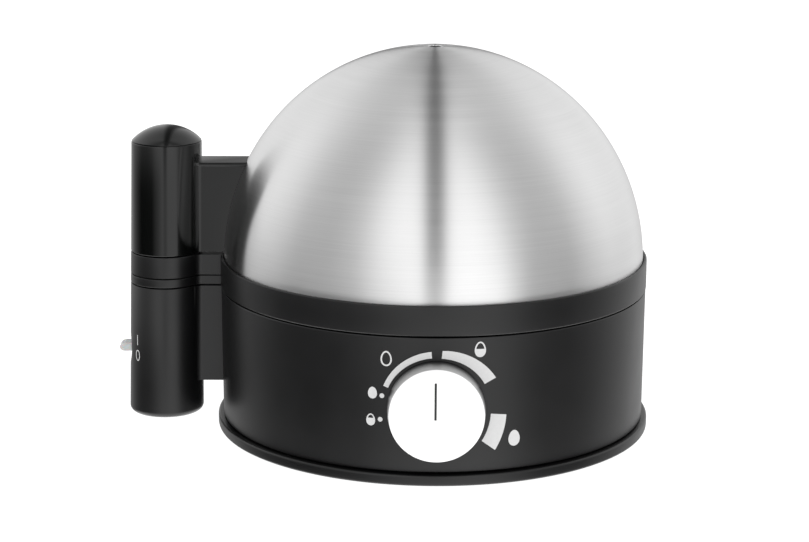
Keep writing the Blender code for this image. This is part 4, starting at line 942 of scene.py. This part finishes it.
class EGGCOOKER_OT_pan(bpy.types.Operator):
    """Turn the water pan with its rounded corner and rolled flange"""
    bl_idname = "mesh.egg_cooker_pan"
    bl_label = "Water pan"

    def execute(self, context):
        sheet = 1.0 * MM
        floor, flange, rim = low("heating_pan", "z"), high("heating_pan", "z"), high("heating_pan", "x")
        corner = (68.0 * MM, floor + 4.0 * MM)
        neck = 76.5 * MM
        outline = [
            (0, floor), *arc(corner, 4.0 * MM, -90, -10, 10), (neck - 0.4 * MM, flange - 2.2 * MM),
            (neck + 0.4 * MM, flange - sheet), (rim, flange - sheet), (rim, flange - 0.3 * sheet),
            (rim - 0.3 * MM, flange), (neck - 0.4 * MM, flange), (neck - sheet - 0.5 * MM, flange - 1.0 * MM),
            *arc(corner, 3.0 * MM, -10, -90, 10), (0, floor + sheet),
        ]
        pan = turned("water_pan", outline)
        dressed(pan, "pan", "base", "pan_coating", "heating_pan", angle=50)
        return {"FINISHED"}


class EGGCOOKER_OT_shell(bpy.types.Operator):
    """Model the base housing with its column and web, and the scoop and window of the switch"""
    bl_idname = "mesh.egg_cooker_shell"
    bl_label = "Base housing"

    def execute(self, context):
        settings = context.scene.egg_cooker_base
        handle = context.scene.egg_cooker_handle
        bore = SHELL_R - settings.wall
        outline = [(0, SHELL_FOOT), (SHELL_R - settings.draft, SHELL_FOOT), (SHELL_R, SHELL_TOP), (0, SHELL_TOP)]
        shell = turned("housing", softened(outline, 0.5 * MM, skip=(0, 3)))
        joined(shell, column_ring("housing_column", COLUMN_FOOT, SHELL_TOP, foot_edge=2.5 * MM))
        joined(shell, web("housing_web", handle.web_half, settings.web_foot, SHELL_TOP - 0.3 * MM, -bore,
                          handle.fillet))
        cut(shell, rod("housing_bore", (0, 0, 0), UP, bore, 80 * MM, FINE))
        cut(shell, column_bore("housing_column_bore", COLUMN_FOOT + handle.wall,
                               column_radius(SHELL_TOP) - handle.wall, SHELL_TOP))
        passage = handle.web_half - handle.wall
        cut(shell, block("web_passage", (COLUMN_X + handle.wall, -passage, settings.web_foot + handle.wall),
                         (-bore + PAST, passage, SHELL_TOP + PAST)))
        for angle in POST_ANGLES:
            x, y = on_circle(POST_CIRCLE, angle)
            joined(shell, rod("plate_post", (x, y, 4.8 * MM), UP, 4.2 * MM, 19 * MM, 24))
            cut(shell, rod("post_pilot", (x, y, 2.0 * MM), UP, 1.6 * MM, 16 * MM, 24))
        cut(shell, rod("shaft_hole", (0, -bore + 10 * MM, KNOB_Z), (0, -1, 0), 4.4 * MM, 20 * MM))
        gland_z = (low("cord_gland", "z") + high("cord_gland", "z")) / 2
        cut(shell, rod("gland_hole", (0, bore - 10 * MM, gland_z), (0, 1, 0), 5.5 * MM, 20 * MM))
        self.switch_window(shell, handle)
        dressed(shell, "satin", "base", "satin_black_plastic", "base_shell", angle=35)
        return {"FINISHED"}

    def switch_window(self, shell, handle):
        """A shallow scoop across the column, and the window of the lever in it."""
        height = SWITCH_HEIGHT
        surface = column_centre(height) - column_radius(height)
        half, depth = 6.8 * MM, 1.0 * MM
        scoop = (half**2 + depth**2) / (2 * depth)
        axis = surface + depth - scoop
        cut(shell, rod("switch_scoop", (axis, -14 * MM, height), (0, 1, 0), scoop, 28 * MM, 256))
        cut(shell, block("switch_window", (surface - PAST, -3.7 * MM, height - 3.9 * MM),
                         (surface + 2 * handle.wall, 3.7 * MM, height + 3.9 * MM)))


class EGGCOOKER_OT_plate(bpy.types.Operator):
    """Turn the bottom plate and the four rubber feet"""
    bl_idname = "mesh.egg_cooker_plate"
    bl_label = "Bottom plate and feet"

    def execute(self, context):
        settings = context.scene.egg_cooker_base
        inner = SHELL_R - 2 * settings.wall
        floor = 2.6 * MM
        outline = [(0, 0), (PLATE_R, 0), (PLATE_R, PLATE_RIM), (inner, PLATE_RIM), (inner, floor), (0, floor)]
        plate = turned("plate", softened(outline, 0.9 * MM, skip=(0, 4, 5)))
        for foot_angle, post_angle in zip(FOOT_ANGLES, POST_ANGLES):
            x, y = on_circle(FOOT_CIRCLE, foot_angle)
            cut(plate, rod("foot_pocket", (x, y, -PAST), UP, 6.3 * MM, PAST + 1.2 * MM, 32))
            x, y = on_circle(POST_CIRCLE, post_angle)
            cut(plate, rod("screw_passage", (x, y, -PAST), UP, 1.9 * MM, 3 * PAST, 24))
            cut(plate, rod("screw_counterbore", (x, y, -PAST), UP, 3.5 * MM, PAST + 1.4 * MM, 32))
        near, far, half = 26 * MM, 42 * MM, 1.5 * MM
        slot = softened([(near, -half), (far, -half), (far, half), (near, half)], half)
        for number in range(8):
            turn = Matrix.Rotation(math.radians(45 * number + 22.5), 3, "Z")
            points = [turn @ Vector((x, y, -PAST)) for x, y in slot]
            cut(plate, prism("underside_slot", points, UP, 3 * PAST))
        dressed(plate, "satin", "base", "satin_black_plastic", "bottom_plate", angle=40)
        self.feet()
        return {"FINISHED"}

    def feet(self):
        foot, radius, top = low("foot_1", "z"), 6.0 * MM, 0.9 * MM
        outline = softened([(0, foot), (radius, foot), (radius, top), (0, top)], 0.9 * MM, skip=(0, 3))
        for number, angle in enumerate(FOOT_ANGLES, 1):
            piece = turned(f"rubber_foot_{number}", outline, SMALL)
            x, y = on_circle(FOOT_CIRCLE, angle)
            piece.location += Vector((x, y, 0))
            dressed(piece, "rubber", "base", "black_rubber", f"foot_{number}")


class EGGCOOKER_OT_knob(bpy.types.Operator):
    """Model the white control knob with its black pointer groove"""
    bl_idname = "mesh.egg_cooker_knob"
    bl_label = "Knob"

    def execute(self, context):
        settings = context.scene.egg_cooker_knob
        deep = KNOB_BACK - KNOB_FACE
        wall, bore, hub = 1.8 * MM, 3.3 * MM, 5.5 * MM
        back, face = settings.back_radius, settings.face_radius
        outline = [
            (0, deep - wall), (bore, deep - wall), (bore, 0), (hub, 0), (hub, deep - wall),
            (face - wall, deep - wall), (back - wall, 0), (back, 0), (face, deep), (0, deep),
        ]
        soft = softened(outline, settings.edge, 6, skip=(0, 1, 2, 3, 4, 5, 6, 9))
        points = [(radius, KNOB_BACK - along, KNOB_Z) for radius, along in soft]
        knob = spun("knob", points, 128, (0, 0, KNOB_Z), (0, 1, 0))
        wide, foot, top, depth = 0.9 * MM, KNOB_Z - 1.5 * MM, KNOB_Z + 13.2 * MM, 0.4 * MM
        cut(knob, block("pointer_groove", (-wide, KNOB_FACE - PAST, foot), (0, KNOB_FACE + depth, top)))
        dressed(knob, "knob", "knob", "knob_white_plastic", "control_knob", angle=35)
        knob.data.materials.append(material("groove"))
        slack = 0.1 * MM
        for part in knob.data.polygons:
            x, y, z = part.center
            sunk = slack / 2 < y - KNOB_FACE < depth + slack
            if sunk and -wide - slack / 10 < x < slack / 10 and foot - slack < z < top + slack:
                part.material_index = 1
        return {"FINISHED"}


class EGGCOOKER_OT_lever(bpy.types.Operator):
    """Model the milky lever of the on/off switch"""
    bl_idname = "mesh.egg_cooker_lever"
    bl_label = "Switch lever"

    def execute(self, context):
        pivot = Vector((COLUMN_X - 7.1 * MM, 0, SWITCH_HEIGHT))
        tip, half, wide = 11.9 * MM, 1.7 * MM, 3.2 * MM
        long = 1.4                  # how much longer than a half circle the nose is
        start = -tip + long * half
        nose = [(start + x * long, z) for x, z in arc((0, 0), half, 90, 270, 10)]
        outline = [(0, -half), (0, half), *nose]
        lever = prism("lever", [(x, -wide, z) for x, z in outline], (0, 1, 0), 2 * wide)
        joined(lever, rod("lever_barrel", (0, -wide, 0), (0, 1, 0), 3.4 * MM, 2 * wide))
        rounded(lever, 0.5 * MM, 40)
        cut(lever, rod("pin_hole", (0, -2 * wide, 0), (0, 1, 0), 1.3 * MM, 4 * wide, 24))
        settled(lever)
        lever.location = pivot
        lever.rotation_euler = (0, math.radians(-2), 0)
        dressed(lever, "lever", "toggle", "clear_white_plastic", "switch_lever", angle=35)
        return {"FINISHED"}


class EGGCOOKER_OT_gland(bpy.types.Operator):
    """Turn the rubber gland in the rear wall"""
    bl_idname = "mesh.egg_cooker_gland"
    bl_label = "Cord gland"

    def execute(self, context):
        inner, outer = low("cord_gland", "y"), high("cord_gland", "y")
        height = (low("cord_gland", "z") + high("cord_gland", "z")) / 2
        wall_in, wall_out = inner + 2.0 * MM, outer - 2.0 * MM
        outline = [
            (3.6 * MM, inner), (7.2 * MM, inner), (7.2 * MM, wall_in), (5.2 * MM, wall_in), (5.2 * MM, wall_out),
            (7.5 * MM, wall_out), (7.5 * MM, outer), (3.6 * MM, outer),
        ]
        soft = softened(outline, 0.7 * MM)
        points = [(radius, deep, height) for radius, deep in soft]
        gland = spun("gland", points + points[:1], SMALL, (0, 0, height), (0, 1, 0))
        dressed(gland, "rubber", "base", "black_rubber", "cord_gland")
        return {"FINISHED"}


class EGGCOOKER_OT_marks(bpy.types.Operator):
    """Print the dial round the knob and the marks of the switch"""
    bl_idname = "mesh.egg_cooker_marks"
    bl_label = "Printed marks"

    def execute(self, context):
        housing = bpy.data.objects["housing"]
        self.dial(housing)
        self.switch_marks(housing)
        return {"FINISHED"}

    def ribbon(self, name, first, second, cuts=3):
        """A flat shape between two lines of as many points, in the plane in front of the base."""
        lines = []
        for points in (first, second):
            lines.append(chain(f"{name}_line", points))
            bpy.ops.mesh.select_all(action="SELECT")
            bpy.ops.mesh.remove_doubles(threshold=MERGE)
            bpy.ops.object.mode_set(mode="OBJECT")
        alone(lines[0])
        lines[1].select_set(True)
        bpy.ops.object.join()
        edited()
        bpy.ops.mesh.bridge_edge_loops(number_cuts=cuts, interpolation="LINEAR")
        bpy.ops.object.mode_set(mode="OBJECT")
        lines[0].name = lines[0].data.name = name
        return lines[0]

    def printed(self, piece, target):
        """Laid on the target's surface as a film of ink."""
        settled(piece)
        applied(piece, "SHRINKWRAP", target=target, wrap_method="PROJECT", use_project_y=True,
                use_positive_direction=True, use_negative_direction=False, offset=0.04 * MM)
        applied(piece, "SOLIDIFY", thickness=0.03 * MM, offset=0.0)
        edited(piece)
        tidied()
        dressed(piece, "print", "base", "knob_white_plastic")

    def flat(self, points):
        return [(x, -100 * MM, z) for x, z in points]

    def dial(self, housing):
        """Arcs and dots for soft, medium and hard, and the small eggs beside them."""
        sweep = (("soft_arc", -67.4, -5.0, (20.2, 20.2), (22.2, 22.8)),
                 ("medium_arc", 5.5, 63.0, (20.1, 20.9), (23.2, 25.9)),
                 ("hard_arc", 97.0, 127.0, (21.4, 22.2), (27.7, 28.9)))
        for name, start, end, inner, outer in sweep:
            sides = []
            for radii in (inner, outer):
                side = []
                for step in range(41):
                    t = step / 40
                    angle = math.radians(start + (end - start) * t)
                    radius = (radii[0] + (radii[1] - radii[0]) * t) * MM
                    side.append((self.across(radius * math.sin(angle)), KNOB_Z + radius * math.cos(angle)))
                sides.append(self.flat(side))
            self.printed(self.ribbon(name, *sides), housing)
        self.egg(housing, "dot_1", -21.05, 35.2, 1.9, 1.9, point=0.0)
        self.egg(housing, "dot_2", -21.7, 25.66, 1.9, 1.9, point=0.0)
        self.egg(housing, "soft_egg", -19.4, 50.15, 4.4, 6.05, line=0.6)
        self.egg(housing, "medium_egg", 16.75, 54.05, 4.4, 6.15, line=0.6, fill=0.16)
        self.egg(housing, "hard_egg", 30.9, 17.5, 4.7, 6.4)
        self.egg(housing, "small_hard_egg", -24.8, 36.15, 3.6, 4.7)
        self.egg(housing, "small_medium_egg", -25.5, 25.3, 3.55, 4.8, line=0.5, fill=0.65)

    def across(self, along):
        """The place across of a point that lies so far along the round wall."""
        return SHELL_R * math.sin(along / SHELL_R)

    def egg(self, housing, name, x, z, width, tall, point=0.12, line=0.0, fill=None):
        """An egg seen from its side: solid, or a line round it, filled up to a height over its middle."""
        def edge(angle, inset=0.0):
            half_x, half_z = width / 2 - inset, tall / 2 - inset
            out = half_x * math.sin(angle) * (1 - point * math.cos(angle))
            return self.across((x + out) * MM), (z + half_z * math.cos(angle)) * MM

        if line:
            loops = [self.flat([edge(2 * math.pi * n / 48, inset) for n in range(49)]) for inset in (0.0, line)]
            self.printed(self.ribbon(f"{name}_line", *loops, cuts=1), housing)
            if fill is None:
                return
        inset = line * 0.98
        top = math.acos(max(-1.0, min(1.0, fill / (tall / 2 - inset)))) if fill is not None else 0.02
        angles = [top + (math.pi - 0.02 - top) * n / 24 for n in range(25)]
        left = self.flat([edge(-angle, inset) for angle in angles])
        right = self.flat([edge(angle, inset) for angle in angles])
        self.printed(self.ribbon(f"{name}_fill", left, right, cuts=4), housing)

    def switch_marks(self, housing):
        """A stroke over a ring on the base column, on its side towards the lever."""
        x = COLUMN_X - 10.7 * MM
        half = 0.12 * MM
        stroke = [[(x + side * half, 33.8 * MM + 4.3 * MM * n / 8) for n in range(9)] for side in (-1, 1)]
        self.printed(self.ribbon("on_mark", *map(self.flat, stroke), cuts=1), housing)
        loops = []
        for inset in (0.0, 0.38):
            points = []
            for n in range(41):
                angle = 2 * math.pi * n / 40
                points.append((x + (0.88 - inset * 0.6) * MM * math.sin(angle),
                               29.45 * MM + (2.35 - inset) * MM * math.cos(angle)))
            loops.append(self.flat(points))
        self.printed(self.ribbon("off_mark", *loops, cuts=1), housing)


class EGGCOOKER_OT_works(bpy.types.Operator):
    """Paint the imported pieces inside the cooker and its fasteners"""
    bl_idname = "mesh.egg_cooker_works"
    bl_label = "Works and fasteners"

    FINISHES = {
        "pan_seal": "silicone", "heat_spreader": "cast", "control_board": "board", "power_relay": "satin",
        "buzzer": "satin", "switch_case": "satin", "thermostat": "satin", "filter_capacitor": "grey",
        "terminal_block": "grey", "regulator_case": "grey", "lead_": "sleeve",
    }

    def execute(self, context):
        for name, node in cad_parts.items():
            finish = next((found for start, found in self.FINISHES.items() if name.startswith(start)), "steel")
            if not node.hide_render:
                for slot in node.material_slots:
                    slot.material = material(finish)
        return {"FINISHED"}


class EGGCOOKER_PT_panel(bpy.types.Panel):
    """Lists the cooker's settings and makers"""
    bl_idname = "EGGCOOKER_PT_panel"
    bl_label = "Egg Cooker"
    bl_space_type = "VIEW_3D"
    bl_region_type = "UI"
    bl_category = "Egg Cooker"

    def draw(self, context):
        for operator in OPERATORS:
            self.layout.operator(operator.bl_idname)
        for name, group in SETTINGS.items():
            box = self.layout.box()
            box.label(text=group.__name__)
            for setting in group.__annotations__:
                box.prop(getattr(context.scene, name), setting)


OPERATORS = (
    EGGCOOKER_OT_stage, EGGCOOKER_OT_dome, EGGCOOKER_OT_handle, EGGCOOKER_OT_carrier, EGGCOOKER_OT_deck,
    EGGCOOKER_OT_pan, EGGCOOKER_OT_shell, EGGCOOKER_OT_plate, EGGCOOKER_OT_knob, EGGCOOKER_OT_lever,
    EGGCOOKER_OT_gland, EGGCOOKER_OT_marks, EGGCOOKER_OT_works,
)


def register():
    for item in (*SETTINGS.values(), *OPERATORS, EGGCOOKER_PT_panel):
        bpy.utils.register_class(item)
    for name, group in SETTINGS.items():
        setattr(bpy.types.Scene, name, bpy.props.PointerProperty(type=group))


def unregister():
    for name in SETTINGS:
        delattr(bpy.types.Scene, name)
    for item in (EGGCOOKER_PT_panel, *reversed(OPERATORS), *reversed(SETTINGS.values())):
        bpy.utils.unregister_class(item)


def main():
    register()
    for operator in OPERATORS:
        group, name = operator.bl_idname.split(".")
        getattr(getattr(bpy.ops, group), name)()


if __name__ == "__main__":
    main()
